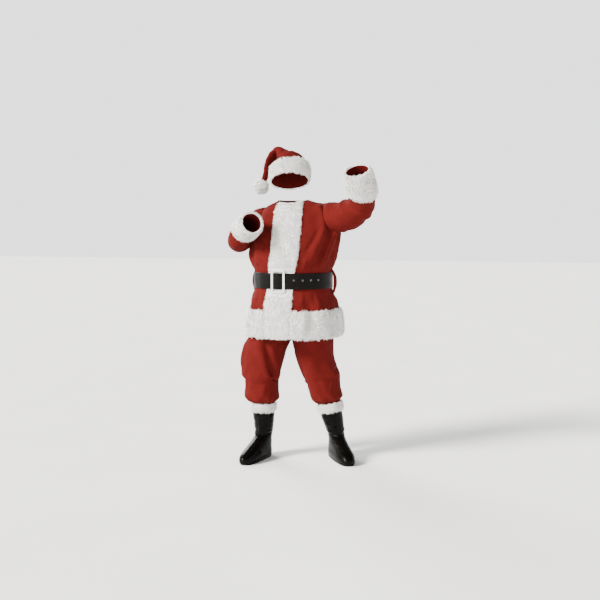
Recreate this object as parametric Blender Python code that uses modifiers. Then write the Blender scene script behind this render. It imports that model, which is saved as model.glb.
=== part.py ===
"""A worn Santa suit: jacket, trousers, hat, boot covers and belt, hollow, in a greeting pose.

Heights in the tables are above the soles. X is to the wearer's left, -Y is to the front.
The part's origin is the base of the neck, where the shoulders carry the jacket.
"""

import math
from collections import namedtuple

import bmesh
import bpy
from mathutils import Matrix, Vector

# Driving sizes, in metres
NECK_HEIGHT = 1.475  # base of the neck above the soles: the part's origin
CLOTH = 0.0024  # plush wall
VINYL = 0.0022  # boot cover wall
SEAM_GAP = 0.0009  # sewn panels, edge to edge on the outer face
LAY_GAP = 0.0003  # a piece that lies on another
ARMHOLE_GAP = 0.00072  # sleeve head to jacket body
FUR_DEPTH = 0.015  # pile and backing of the trims on jacket and hat
CUFF_FUR_DEPTH = FUR_DEPTH + 0.004  # fuller, gathered at the wrist
CUFF_ROUNDING = 2.6  # power of the cuff's section, fuller than an ellipse's 2
BOOT_FUR_DEPTH = 0.011
JACKET_COLUMNS = 44  # of the jacket's grid, counted from the centre front to the wearer's left
PLACKET_COLUMN = 3  # the placket's edge
LEFT_SEAM_COLUMN = 12
RIGHT_SEAM_COLUMN = 32
PLACKET_WIDTH = 0.164
PLACKET_NECK_SHARE = 0.84  # of that width at the neck
PLACKET_TAPER = 0.12  # and how far below the neck it is full
HEM_BOTTOM = 0.730
HEM_TOP = 0.887
BELT_HEIGHT = 1.054  # middle of the belt
BELT_WIDTH = 0.090
BELT_THICK = 0.003
BELT_ON_JACKET = 0.0012  # belt's inner face over the jacket at the sides and back
BELT_ON_FUR = 0.0068  # and over the placket, whose pile it pinches
STRAP_LIFT = BELT_THICK + LAY_GAP  # the strap's free end over its first layer
STRAP_END = 0.072  # the free end's reach past the buckle's bar
STRAP_SETTLED = 0.30  # run from the bar at which the upper layer has come down to the lower
STRAP_SLOPE = 0.20  # the run it takes to come down
STRAP_OVER_BAR = 0.028  # half the run of its rise over the bar
BELT_LEAVES_FUR = 0.42  # angle from the buckle at which the belt starts to come down to the jacket
BELT_COMES_DOWN = 0.35  # and the angle it takes
BELT_GIRTH_RADIUS = 0.235  # mean radius, to turn runs along the belt into angles
BUCKLE_WIDTH = 0.084
BUCKLE_TALL = 0.134
BUCKLE_BAR = 0.013
BUCKLE_CORNER = 0.013  # radius
BUCKLE_WINDOW_CORNER = 0.004
BUCKLE_THICK = 0.004
BUCKLE_PIN = 0.0015  # radius of its middle bar
BUCKLE_PIN_SINK = 0.0020  # how far that bar lies behind the frame's middle plane
BUCKLE_OUT = STRAP_LIFT + BELT_THICK + LAY_GAP + BUCKLE_THICK / 2  # frame's middle over the jacket
BUCKLE_ANGLE = -0.086  # where the buckle sits round the belt, from the centre front
PINCH_REACH = BUCKLE_TALL / 2 + 0.003  # the placket's pile is pinched this far from the belt's middle
EYELET_ANGLES = (0.262, 0.475, 0.700, 0.923)
EYELET_RISE = 0.006  # above the belt's middle
EYELET_HOLE = 0.003  # radius
EYELET_RIM = 0.0046  # radius of the rim's ring
EYELET_WIRE = 0.0012  # and of its section
LOOP_LEVELS = (0.975, 1.117)  # the belt carriers at the side seams
LOOP_HALF_WIDTH = 0.009
LOOP_SLACK = 0.024  # how far they stand out over the belt
LOOP_ROUNDING = 2.4
WAISTBAND_THICK = 0.0035  # doubled plush over its elastic
WAIST_WIDTH = 0.2236  # half width of the trouser waist, just inside the jacket at the belt
WAIST_FRONT = 0.1896
WAIST_BACK = 0.1696
WAIST_LEVELS = (1.008, 1.054)  # the elastic waistband
WAIST_HEIGHT = WAIST_LEVELS[0] - SEAM_GAP
BOOT_TOP = 0.330
POMPOM_RADIUS = 0.042

FULL_TURN = 2 * math.pi

# Jacket body, hem to neck. "level" orders the rings; right and left are half widths.
TorsoRow = namedtuple("TorsoRow", "level height right left front back rise_right rise_left dip")
TORSO = [
    TorsoRow(0.737, 0.737, 0.266, 0.274, 0.2460, 0.2200, 0, 0, 0),
    TorsoRow(0.810, 0.810, 0.263, 0.271, 0.2415, 0.2155, 0, 0, 0),
    TorsoRow(HEM_TOP, HEM_TOP, 0.2545, 0.2615, 0.2310, 0.2050, 0, 0, 0),
    TorsoRow(0.984, 0.984, 0.2335, 0.2350, 0.2010, 0.1800, 0, 0, 0),
    TorsoRow(WAIST_LEVELS[0], WAIST_LEVELS[0], 0.2275, 0.2275, 0.1935, 0.1735, 0, 0, 0),
    TorsoRow(1.100, 1.100, 0.2275, 0.2275, 0.1935, 0.1735, 0, 0, 0),
    TorsoRow(1.124, 1.124, 0.2345, 0.2335, 0.2000, 0.1785, 0, 0, 0),
    TorsoRow(1.195, 1.195, 0.258, 0.256, 0.2040, 0.1820, 0, 0, 0),
    TorsoRow(1.275, 1.275, 0.250, 0.276, 0.1860, 0.1700, 0, 0, 0),
    TorsoRow(1.335, 1.335, 0.238, 0.284, 0.1680, 0.1600, 0, 0.006, 0),
    TorsoRow(1.395, 1.393, 0.222, 0.262, 0.1500, 0.1480, 0, 0.028, 0),
    TorsoRow(1.445, 1.440, 0.196, 0.222, 0.1300, 0.1360, 0.004, 0.040, 0),
    TorsoRow(1.495, 1.475, 0.158, 0.168, 0.1100, 0.1200, 0.004, 0.022, 0.006),
    TorsoRow(1.540, 1.499, 0.120, 0.123, 0.0950, 0.1040, 0, 0.006, 0.020),
    TorsoRow(1.575, 1.515, 0.086, 0.086, 0.0820, 0.0880, 0, 0, 0.040),
]
HEM_LEVEL = TORSO[0].level
NECK_LEVEL = TORSO[-1].level
BELT_LEVEL = 1.005  # the ring whose section the belt follows
SQUARENESS = 0.92  # power of the body's sections: 1 is an ellipse, less is squarer

# The placket's middle, sideways from the centre, by level.
PlacketRow = namedtuple("PlacketRow", "level x")
PLACKET_LINE = [
    PlacketRow(0.725, -0.019),
    PlacketRow(0.925, -0.021),
    PlacketRow(1.054, -0.017),
    PlacketRow(1.235, 0.012),
    PlacketRow(1.575, 0.006),
]

# Drape folds of the jacket body: a ridge (depth > 0) or trough along a slanting line.
Fold = namedtuple("Fold", "low_angle high_angle low high width depth")
JACKET_FOLDS = [
    Fold(0.62, 0.98, 1.155, 1.465, 0.034, 0.013),
    Fold(0.84, 1.10, 1.155, 1.445, 0.028, -0.010),
    Fold(1.06, 1.26, 1.155, 1.405, 0.030, 0.012),
    Fold(1.30, 1.40, 1.155, 1.325, 0.028, -0.009),
    Fold(-0.62, -0.70, 1.155, 1.285, 0.030, 0.009),
    Fold(-0.88, -0.90, 1.155, 1.265, 0.028, -0.008),
    Fold(-1.14, -1.12, 1.155, 1.265, 0.030, 0.009),
    Fold(0.95, 0.85, 0.745, 0.955, 0.040, 0.012),
    Fold(0.62, 0.60, 0.745, 0.955, 0.036, -0.008),
    Fold(1.82, 1.78, 0.745, 0.955, 0.045, 0.010),
    Fold(-0.95, -0.90, 0.745, 0.955, 0.042, 0.009),
    Fold(-1.82, -1.78, 0.745, 0.955, 0.042, 0.008),
    Fold(2.30, 2.20, 0.765, 0.955, 0.050, 0.011),
    Fold(-2.35, -2.20, 0.765, 0.955, 0.050, 0.011),
    Fold(2.90, 2.80, 1.155, 1.325, 0.045, 0.010),
    Fold(-2.60, -2.40, 1.155, 1.345, 0.045, 0.010),
    Fold(2.30, 2.00, 1.155, 1.385, 0.040, 0.011),
]

# Sleeves, from inside the shoulder to the wrist: the middle of each section and its radius.
SleeveRow = namedtuple("SleeveRow", "x y z radius")
SLEEVE_ROWS = {
    "right": [
        SleeveRow(-0.085, 0.000, 1.377, 0.084),
        SleeveRow(-0.180, -0.004, 1.391, 0.083),
        SleeveRow(-0.262, -0.022, 1.345, 0.077),
        SleeveRow(-0.298, -0.064, 1.295, 0.070),
        SleeveRow(-0.292, -0.124, 1.281, 0.067),
        SleeveRow(-0.242, -0.184, 1.334, 0.059),
        SleeveRow(-0.193, -0.240, 1.360, 0.055),
        SleeveRow(-0.144, -0.297, 1.384, 0.054),
    ],
    "left": [
        SleeveRow(0.100, 0.000, 1.401, 0.088),
        SleeveRow(0.190, -0.004, 1.405, 0.090),
        SleeveRow(0.269, -0.036, 1.413, 0.089),
        SleeveRow(0.350, -0.066, 1.427, 0.085),
        SleeveRow(0.418, -0.100, 1.465, 0.078),
        SleeveRow(0.451, -0.153, 1.540, 0.070),
        SleeveRow(0.446, -0.195, 1.603, 0.065),
        SleeveRow(0.440, -0.237, 1.666, 0.062),
    ],
}
CUFF_LENGTH = 0.157
SLEEVE_SIDES = 16
SLEEVE_SHORT = 0.008  # the plush ends this far inside the cuff's edge
# Crease rings across a sleeve: a dip (depth < 0) or a roll, strongest on one side.
Crease = namedtuple("Crease", "along facing width depth")
SLEEVE_CREASES = {
    "right": [
        Crease(0.30, 1.0, 0.030, -0.006),
        Crease(0.38, 1.4, 0.030, 0.006),
        Crease(0.58, 4.2, 0.028, -0.006),
    ],
    "left": [
        Crease(0.34, 4.4, 0.034, -0.007),
        Crease(0.44, 4.7, 0.030, 0.007),
        Crease(0.54, 1.2, 0.026, -0.008),
    ],
}

# Trouser legs, hem to waist: the middle of each section, then its reach to each side of it.
LegRow = namedtuple("LegRow", "height x y inner outer front back tilt")
LEG_TOP = [
    LegRow(0.885, 0.000, 0.000, 0.2160, 0.2160, 0.1860, 0.1760, 0),
    LegRow(0.955, 0.000, 0.000, 0.2190, 0.2190, 0.1860, 0.1700, 0),
    LegRow(WAIST_HEIGHT, 0.000, 0.000, WAIST_WIDTH, WAIST_WIDTH, WAIST_FRONT, WAIST_BACK, 0),
]
LEGS = {
    "right": [
        LegRow(0.297, -0.165, -0.0693, 0.0600, 0.0600, 0.0600, 0.0600, 0),
        LegRow(0.331, -0.164, -0.0740, 0.0632, 0.0632, 0.0632, 0.0632, 0),
        LegRow(0.347, -0.168, -0.075, 0.0900, 0.0920, 0.0920, 0.0900, 0),
        LegRow(0.370, -0.172, -0.076, 0.0990, 0.1010, 0.1000, 0.1000, 0),
        LegRow(0.425, -0.170, -0.076, 0.0960, 0.0980, 0.0980, 0.1000, 0),
        LegRow(0.465, -0.170, -0.076, 0.0980, 0.1020, 0.1020, 0.1080, 0),
        LegRow(0.493, -0.172, -0.077, 0.1080, 0.1180, 0.1060, 0.1120, 0),
        LegRow(0.525, -0.170, -0.076, 0.1060, 0.1160, 0.1060, 0.1080, 0),
        LegRow(0.605, -0.158, -0.070, 0.1120, 0.1180, 0.1120, 0.1120, 0),
        LegRow(0.670, -0.145, -0.060, 0.1180, 0.1160, 0.1200, 0.1240, 0),
        LegRow(0.705, -0.128, -0.040, 0.1260, 0.1160, 0.1320, 0.1340, 0),
        LegRow(0.750, -0.098, -0.020, 0.1550, 0.1240, 0.1540, 0.1540, 0),
        LegRow(0.815, -0.045, -0.006, 0.1800, 0.1720, 0.1740, 0.1700, 0),
        *LEG_TOP,
    ],
    "left": [
        LegRow(0.305, 0.2120, 0.0400, 0.0600, 0.0600, 0.0600, 0.0600, 0.22),
        LegRow(0.333, 0.2080, 0.0350, 0.0632, 0.0632, 0.0632, 0.0632, 0.22),
        LegRow(0.351, 0.202, 0.034, 0.0830, 0.0840, 0.0880, 0.0880, 0.20),
        LegRow(0.377, 0.192, 0.031, 0.0900, 0.0920, 0.0960, 0.0980, 0.16),
        LegRow(0.425, 0.179, 0.027, 0.0920, 0.0980, 0.1000, 0.1000, 0.10),
        LegRow(0.465, 0.170, 0.024, 0.0960, 0.1040, 0.1020, 0.1060, 0.08),
        LegRow(0.495, 0.160, 0.021, 0.1020, 0.1140, 0.1060, 0.1120, 0.05),
        LegRow(0.525, 0.150, 0.018, 0.1040, 0.1160, 0.1060, 0.1080, 0.03),
        LegRow(0.605, 0.128, 0.010, 0.1080, 0.1120, 0.1120, 0.1120, 0),
        LegRow(0.670, 0.116, 0.004, 0.1120, 0.1220, 0.1200, 0.1240, 0),
        LegRow(0.705, 0.112, 0.000, 0.1160, 0.1260, 0.1320, 0.1340, 0),
        LegRow(0.750, 0.098, -0.002, 0.1550, 0.1300, 0.1540, 0.1540, 0),
        LegRow(0.815, 0.045, -0.002, 0.1800, 0.1720, 0.1740, 0.1700, 0),
        *LEG_TOP,
    ],
}
# Long soft folds down the legs, by angle from the inseam round the front.
LEG_FOLDS = {
    "right": [
        Fold(0.95, 1.45, 0.445, 0.725, 0.038, -0.010),
        Fold(0.60, 1.00, 0.445, 0.705, 0.038, 0.008),
        Fold(4.60, 4.90, 0.385, 0.685, 0.048, 0.009),
    ],
    "left": [
        Fold(2.40, 1.90, 0.385, 0.645, 0.048, -0.007),
        Fold(1.20, 1.50, 0.385, 0.625, 0.048, 0.007),
        Fold(4.40, 4.20, 0.385, 0.685, 0.048, 0.009),
    ],
}

# Boot covers, sole to top, along each foot: heel and toe reach from the leg's middle.
BootRow = namedtuple("BootRow", "height side toe heel ball")
BOOT_ROWS = [
    BootRow(0.000, 0.044, 0.240, 0.052, 1.0),
    BootRow(0.014, 0.049, 0.248, 0.058, 1.0),
    BootRow(0.036, 0.050, 0.246, 0.060, 1.0),
    BootRow(0.060, 0.048, 0.222, 0.058, 0.9),
    BootRow(0.088, 0.046, 0.166, 0.056, 0.6),
    BootRow(0.114, 0.045, 0.110, 0.054, 0.3),
    BootRow(0.138, 0.047, 0.074, 0.054, 0.0),
    BootRow(0.162, 0.052, 0.063, 0.057, 0.0),
    BootRow(0.230, 0.061, 0.063, 0.064, 0.0),
    BootRow(BOOT_TOP, 0.0678, 0.0678, 0.0678, 0.0),
]
BootStand = namedtuple("BootStand", "x y top_x top_y heading tilt")
BOOT_STANDS = {
    "right": BootStand(-0.169, -0.047, -0.164, -0.074, -10, 0),
    "left": BootStand(0.240, 0.076, 0.2085, 0.0353, 35, 0.22),
}
BALL_WIDENING = 0.42  # how much wider a foot is at the toe's side than at its middle
ANKLE_HEIGHT = 0.140
BOOT_FUR_BOTTOM = 0.277
BOOT_FUR_TOP = 0.331

# Hat, over the crown and down the tail: the middle of each section, its front-to-back reach
# ("deep") and its reach in the plane of the fold ("wide").
HatRow = namedtuple("HatRow", "x y z deep wide")
HAT_ROWS = [
    HatRow(-0.001, -0.063, 1.622, 0.104, 0.106),
    HatRow(-0.017, -0.027, 1.716, 0.101, 0.097),
    HatRow(-0.049, -0.014, 1.763, 0.084, 0.048),
    HatRow(-0.080, -0.010, 1.795, 0.064, 0.026),
    HatRow(-0.110, -0.008, 1.778, 0.051, 0.022),
    HatRow(-0.144, -0.004, 1.733, 0.042, 0.021),
    HatRow(-0.159, 0.003, 1.683, 0.034, 0.019),
    HatRow(-0.186, 0.005, 1.632, 0.018, 0.015),
]
HAT_SIDES = 20
HAT_BAND_START = 0.001
HAT_BAND_LENGTH = 0.094


def smooth_row(table, keys, position):
    """The table's columns at a position along its keys, as a smooth curve through its rows."""
    position = min(max(position, keys[0]), keys[-1])
    i = max(k for k in range(len(table) - 1) if keys[k] <= position)
    span = keys[i + 1] - keys[i]
    t = (position - keys[i]) / span

    def rise(k, column):
        low, high = max(k - 1, 0), min(k + 1, len(table) - 1)
        return (table[high][column] - table[low][column]) / (keys[high] - keys[low]) * span

    values = []
    for column in range(len(table[0])):
        value = (2 * t**3 - 3 * t**2 + 1) * table[i][column]
        value += (t**3 - 2 * t**2 + t) * rise(i, column)
        value += (3 * t**2 - 2 * t**3) * table[i + 1][column]
        value += (t**3 - t**2) * rise(i + 1, column)
        values.append(value)
    return type(table[0])(*values)


def row_at(table, position):
    """The row at a value of the table's first column."""
    return smooth_row(table, [row[0] for row in table], position)


def levels_of(table, tallest):
    """The table's levels, with more between them so that no step is taller than this."""
    levels = [table[0][0]]
    for low, high in zip(table, table[1:]):
        steps = math.ceil((high[0] - low[0]) / tallest)
        levels += [low[0] + (high[0] - low[0]) * (k + 1) / steps for k in range(steps)]
    return levels


def signed_power(value, power):
    return math.copysign(abs(value) ** power, value)


def clamp(value):
    return min(max(value, 0.0), 1.0)


def ease(value):
    """0 to 1, starting and ending gently."""
    value = clamp(value)
    return value * value * (3 - 2 * value)


def bump(distance, width):
    """1 on the line of a fold, falling smoothly to 0 at its width."""
    share = abs(distance) / width
    return 0.5 + 0.5 * math.cos(math.pi * share) if share < 1 else 0.0


def wrapped(angle):
    """The same direction, from minus half a turn to half a turn."""
    return (angle + math.pi) % FULL_TURN - math.pi


def fold_height(folds, angle, height, radius, ends=0.05):
    total = 0.0
    for fold in folds:
        share = (height - fold.low) / (fold.high - fold.low)
        away = wrapped(angle - fold.low_angle - (fold.high_angle - fold.low_angle) * share)
        reach = ease(min(height - fold.low, fold.high - height) / ends + 0.5)
        total += fold.depth * bump(away * radius, fold.width * 1.6) * reach
    return total


class Tube:
    """Sections along a smooth line through a table's rows, with a frame that doesn't twist."""

    STEP = 0.004

    def __init__(self, rows, first_side):
        self.rows = rows
        middles = [Vector(row[:3]) for row in rows]
        self.keys = [0.0]
        for before, after in zip(middles, middles[1:]):
            self.keys.append(self.keys[-1] + (after - before).length)
        self.length = self.keys[-1]
        self.sides = []
        side = Vector(first_side)
        for k in range(round(self.length / self.STEP) + 1):
            ahead = self.ahead(k * self.STEP)
            side = (side - ahead * side.dot(ahead)).normalized()
            self.sides.append(side)

    def middle(self, run):
        """The line's point at a run from its start; it goes straight on past its ends."""
        inside = min(max(run, 0.0), self.length)
        point = Vector(smooth_row(self.rows, self.keys, inside)[:3])
        return point + self.ahead(inside) * (run - inside) if run != inside else point

    def ahead(self, run):
        low, high = max(run - self.STEP, 0.0), min(run + self.STEP, self.length)
        if high <= low:
            low, high = (0.0, self.STEP) if run <= 0 else (self.length - self.STEP, self.length)
        start = Vector(smooth_row(self.rows, self.keys, low)[:3])
        return (Vector(smooth_row(self.rows, self.keys, high)[:3]) - start).normalized()

    def frame(self, run):
        """Middle, side and up directions at a run from the start."""
        spot = min(max(run / self.STEP, 0.0), len(self.sides) - 1.001)
        k = int(spot)
        ahead = self.ahead(min(max(run, 0.0), self.length))
        side = self.sides[k].lerp(self.sides[k + 1], spot - k)
        side = (side - ahead * side.dot(ahead)).normalized()
        return self.middle(run), side, ahead.cross(side)

    def row(self, run):
        return smooth_row(self.rows, self.keys, run)


def torso_form(angle, level):
    row = row_at(TORSO, level)
    side, front = math.sin(angle), math.cos(angle)
    width = row.left if side >= 0 else row.right
    depth = row.front if front >= 0 else row.back
    rise = row.rise_left if side >= 0 else row.rise_right
    return Vector(
        (
            width * signed_power(side, SQUARENESS),
            -depth * signed_power(front, SQUARENESS),
            row.height + rise * side * side - row.dip * max(front, 0.0) ** 2,
        )
    )


def torso_normal(angle, level):
    level = min(max(level, HEM_LEVEL + 0.003), NECK_LEVEL - 0.003)
    across = torso_form(angle + 0.01, level) - torso_form(angle - 0.01, level)
    along = torso_form(angle, level + 0.002) - torso_form(angle, level - 0.002)
    return across.cross(along).normalized()


def torso_point(angle, level, out=0.0):
    """A point of the jacket body's outer face, folds and all, moved out along the normal."""
    point = torso_form(angle, level)
    out += fold_height(JACKET_FOLDS, angle, level, math.hypot(point.x, point.y))
    return point + torso_normal(angle, level) * out


def front_angle(x, level):
    """The angle on the jacket's front whose point is this far sideways from the centre."""
    row = row_at(TORSO, level)
    width = row.left if x >= 0 else row.right
    share = min(abs(x) / width, 0.95) ** (1 / SQUARENESS)
    return math.copysign(math.asin(share), x)


def centre_front(level):
    return front_angle(row_at(PLACKET_LINE, level).x, level)


def placket_edges(level):
    """The angles of the placket's two edges."""
    middle = row_at(PLACKET_LINE, level).x
    lower = clamp((NECK_LEVEL - level) / PLACKET_TAPER)
    narrowing = PLACKET_NECK_SHARE + (1 - PLACKET_NECK_SHARE) * lower
    half = PLACKET_WIDTH / 2 * narrowing
    return front_angle(middle - half, level), front_angle(middle + half, level)


def sleeve_point(side, angle, run, out=0.0):
    tube = SLEEVES[side]
    middle, aside, up = tube.frame(run)
    radius = tube.row(run).radius
    for crease in SLEEVE_CREASES[side]:
        facing = 0.5 + 0.5 * math.cos(angle - crease.facing)
        radius += crease.depth * facing * bump(run - crease.along * tube.length, crease.width)
    return middle + (aside * math.cos(angle) + up * math.sin(angle)) * (radius + out)


def leg_form(side, angle, height):
    """A trouser leg: the angle runs from the inseam round the front to the side seam at half a turn."""
    row = row_at(LEGS[side], height)
    inner, front = math.cos(angle), math.sin(angle)
    width = row.inner if inner >= 0 else row.outer
    depth = row.front if front >= 0 else row.back
    x = width * signed_power(inner, SQUARENESS) * (1 if side == "right" else -1)
    return Vector((row.x + x, row.y - depth * signed_power(front, SQUARENESS), height + row.tilt * x))


def leg_start(side, height):
    """The angle where a leg's panels start: the inseam, or above the crotch the middle plane."""
    row = row_at(LEGS[side], height)
    outwards = 1 if side == "left" else -1
    share = (outwards * row.x - SEAM_GAP / 2) / row.inner
    if share < 1:
        return math.acos(signed_power(share, 1 / SQUARENESS))
    return SEAM_GAP / 2 / row.inner


def leg_point(side, angle, height, out=0.0):
    point = leg_form(side, angle, height)
    row = row_at(LEGS[side], height)
    centre = Vector((row.x, row.y, point.z))
    out += fold_height(LEG_FOLDS[side], angle, height, row.outer)
    return point + (point - centre).normalized() * out


def boot_point(side, angle, height, out=0.0):
    """A boot cover: the angle runs from the toe round the wearer's left.

    The lower rings are egg-shaped, widest at the ball of the foot and narrow at the heel.
    """
    row = row_at(BOOT_ROWS, height)
    stand = BOOT_STANDS[side]
    share = clamp((height - ANKLE_HEIGHT) / (BOOT_TOP - ANKLE_HEIGHT))
    ahead = math.cos(angle)
    across = signed_power(math.sin(angle), 1 - 0.25 * row.ball) * (1 + BALL_WIDENING * row.ball * ahead)
    reach = row.toe if ahead >= 0 else row.heel
    offset = Vector(((row.side + out) * across, -(reach + out) * ahead, 0))
    offset.rotate(Matrix.Rotation(math.radians(stand.heading), 3, "Z"))
    x = stand.x + (stand.top_x - stand.x) * share + offset.x
    y = stand.y + (stand.top_y - stand.y) * share + offset.y
    return Vector((x, y, height + stand.tilt * share * offset.x))


def hat_point(angle, run, out=0.0):
    middle, aside, up = HAT.frame(run)
    row = HAT.row(run)
    return middle + aside * math.cos(angle) * (row.deep + out) + up * math.sin(angle) * (row.wide + out)


JACKET_LEVELS = levels_of(TORSO, 0.062)
SLEEVES = {side: Tube(rows, (0, -1, 0)) for side, rows in SLEEVE_ROWS.items()}
HAT = Tube(HAT_ROWS, (0, -1, 0))


def clear_scene():
    for obj in list(bpy.data.objects):
        bpy.data.objects.remove(obj)


def new_collection(name):
    collection = bpy.data.collections.new(name)
    bpy.context.scene.collection.children.link(collection)
    return collection


def new_material(name, colour, roughness, metallic=0.0):
    material = bpy.data.materials.new(name)
    material.use_nodes = True
    shader = material.node_tree.nodes["Principled BSDF"]
    shader.inputs["Base Color"].default_value = (*colour, 1)
    shader.inputs["Roughness"].default_value = roughness
    shader.inputs["Metallic"].default_value = metallic
    return material


def finish(name, shape, material, collection=None):
    """Makes the object of a bmesh, smooth-shaded and carried by the empty at the soles."""
    mesh = bpy.data.meshes.new(name)
    shape.to_mesh(mesh)
    shape.free()
    mesh.shade_smooth()
    mesh.set_sharp_from_angle(angle=math.radians(40))
    obj = bpy.data.objects.new(name, mesh)
    (collection or SUIT).objects.link(obj)
    obj.parent = SOLES
    if material:
        mesh.materials.append(material)
    else:
        obj.hide_render = True
        obj.display_type = "WIRE"
    return obj


def shaped_grid(columns, rows, place):
    """A grid whose points are placed by place(u, v), both from 0 to 1; meeting edges are joined.

    All its squares are split along the same diagonal, so that pieces lying on each other match.
    """
    sheet = bmesh.new()
    bmesh.ops.create_grid(sheet, x_segments=columns, y_segments=rows, size=0.5)
    bmesh.ops.triangulate(sheet, faces=sheet.faces, quad_method="FIXED")
    for vertex in sheet.verts:
        vertex.co = place(vertex.co.x + 0.5, vertex.co.y + 0.5)
    bmesh.ops.remove_doubles(sheet, verts=sheet.verts, dist=1e-6)
    return sheet


def cloth(name, material, columns, rows, place, thick=CLOTH):
    """A cloth wall: an open sheet whose outer face is the form, thickened inwards."""
    obj = finish(name, shaped_grid(columns, rows, place), material)
    wall = obj.modifiers.new("wall", "SOLIDIFY")
    wall.thickness = thick
    wall.offset = -1
    return obj


def closed_body(name, material, columns, rows, place, collection=None):
    """A closed body from a grid that closes round on itself, with any open ends capped."""
    body = shaped_grid(columns, rows, place)
    bmesh.ops.holes_fill(body, edges=[e for e in body.edges if e.is_boundary], sides=0)
    bmesh.ops.recalc_face_normals(body, faces=body.faces)
    return finish(name, body, material, collection)


def cut(obj, cutters):
    for cutter in cutters:
        hole = obj.modifiers.new("cut " + cutter.name, "BOOLEAN")
        hole.operation = "DIFFERENCE"
        hole.object = cutter


def fur_section(v, depth, rounding=3.0, back=2, pile=6):
    """Round a fur trim's section, v from 0 to 1: the steps of its flat back, then of the pile.

    Returns the place across the trim, 0 to 1, and the height over its back.
    """
    step = v * (back + pile)
    if step < back:
        return step / back, 0.0
    along = (step - back) / pile
    across = 0.5 + 0.5 * math.cos(math.pi * along)
    return across, depth * (1 - abs(2 * across - 1) ** rounding) ** (1 / rounding)


def jacket_angle(column, level):
    """The angle of a column of the jacket's grid, counted from the centre front to the left.

    The placket's edges and the side seams each keep to a column of their own.
    """
    if column > RIGHT_SEAM_COLUMN:
        return jacket_angle(column - JACKET_COLUMNS, level) + FULL_TURN
    first, last = placket_edges(level)
    marks = [(RIGHT_SEAM_COLUMN - JACKET_COLUMNS, -math.pi / 2), (-PLACKET_COLUMN, first)]
    marks += [(0, centre_front(level)), (PLACKET_COLUMN, last)]
    marks += [(LEFT_SEAM_COLUMN, math.pi / 2), (RIGHT_SEAM_COLUMN, 3 * math.pi / 2)]
    for (low, start), (high, end) in zip(marks, marks[1:]):
        if column <= high:
            return start + (end - start) * (column - low) / (high - low)


def torso_panel(name, first, last):
    """A jacket panel from one of the grid's columns to another, with a seam's gap at both."""

    def place(u, v):
        level = JACKET_LEVELS[round(v * (len(JACKET_LEVELS) - 1))]
        angle = jacket_angle(first + (last - first) * u, level)
        seam = torso_form(angle, level)
        half_gap = SEAM_GAP / 2 / math.hypot(seam.x, seam.y)
        if u == 0:
            angle += half_gap
        if u == 1:
            angle -= half_gap
        return torso_point(angle, level)

    panel = cloth(name, RED_PLUSH, last - first, len(JACKET_LEVELS) - 1, place)
    cut(panel, ARMHOLES)


def body_point(column, level):
    return torso_point(jacket_angle(column, level), level, ARMHOLE_GAP)


def tube_stations(trim_start, trim_length, end, steps, head=0.0):
    """Runs along a tube, with a few under its fur trim that match the trim's own back."""
    under = [trim_start, trim_start + trim_length / 2]
    low, high = (head, trim_start) if trim_start > head else (trim_start + trim_length, end)
    free = [low + (high - low) * k / steps for k in range(steps + 1)]
    return sorted({head, *under, *free, end})


def sleeve(side):
    length = SLEEVES[side].length
    stations = tube_stations(length - CUFF_LENGTH, CUFF_LENGTH, length - SLEEVE_SHORT, 12)

    def place(u, v):
        return sleeve_point(side, u * FULL_TURN, stations[round(v * (len(stations) - 1))])

    tube = cloth("sleeve_" + side, RED_PLUSH, SLEEVE_SIDES, len(stations) - 1, place)
    cut(tube, [BODY_SHAPE])


def fur_cuff(side):
    start = SLEEVES[side].length - CUFF_LENGTH

    def place(u, v):
        share, height = fur_section(v, CUFF_FUR_DEPTH, CUFF_ROUNDING)
        return sleeve_point(side, u * FULL_TURN, start + CUFF_LENGTH * share, 2 * LAY_GAP + height)

    closed_body("fur_cuff_" + side, WHITE_FUR, SLEEVE_SIDES, 8, place)


def placket_depth(level):
    """The pile's height, pinched where the belt and buckle cross it."""
    flare = row_at(TORSO, level).front - row_at(TORSO, BELT_LEVEL).front
    under_frame = BELT_ON_FUR + BUCKLE_OUT - BUCKLE_THICK / 2 - flare
    pinched = min(BELT_ON_FUR, under_frame) - 4 * LAY_GAP
    away = abs(level - BELT_HEIGHT) - PINCH_REACH
    return pinched + (FUR_DEPTH - pinched) * ease(away / 0.035)


def hanging_point(angle, level, out):
    """A point over the jacket body, or straight below its edge."""
    point = torso_point(angle, max(level, HEM_LEVEL), out)
    point.z -= max(HEM_LEVEL - level, 0.0)
    return point


def fur_placket():
    levels = [HEM_BOTTOM + 0.002, *JACKET_LEVELS]

    def place(u, v):
        level = levels[round(u * (len(levels) - 1))]
        share, height = fur_section(v, placket_depth(level), back=6)
        angle = jacket_angle(PLACKET_COLUMN * (2 * share - 1), max(level, HEM_LEVEL))
        return hanging_point(angle, level, 3 * LAY_GAP + height)

    closed_body("fur_placket", WHITE_FUR, len(levels) - 1, 12, place)


def fur_hem():
    """The fur band round the hem, from one edge of the placket to the other."""
    first, last = PLACKET_COLUMN, JACKET_COLUMNS - PLACKET_COLUMN
    back_levels = [HEM_BOTTOM, *(level for level in JACKET_LEVELS if level <= HEM_TOP)]
    back = len(back_levels) - 1

    def place(u, v):
        share, height = fur_section(v, FUR_DEPTH, back=back)
        level = HEM_BOTTOM + (HEM_TOP - HEM_BOTTOM) * share
        if height == 0:
            level = back_levels[round(share * back)]
        on_jacket = max(level, HEM_LEVEL)
        angle = jacket_angle(first + (last - first) * u, on_jacket)
        if u in (0, 1):
            angle += math.copysign(LAY_GAP / row_at(TORSO, on_jacket).front, 0.5 - u)
        return hanging_point(angle, level, 3 * LAY_GAP + height)

    closed_body("fur_hem", WHITE_FUR, last - first, back + 6, place)


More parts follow.
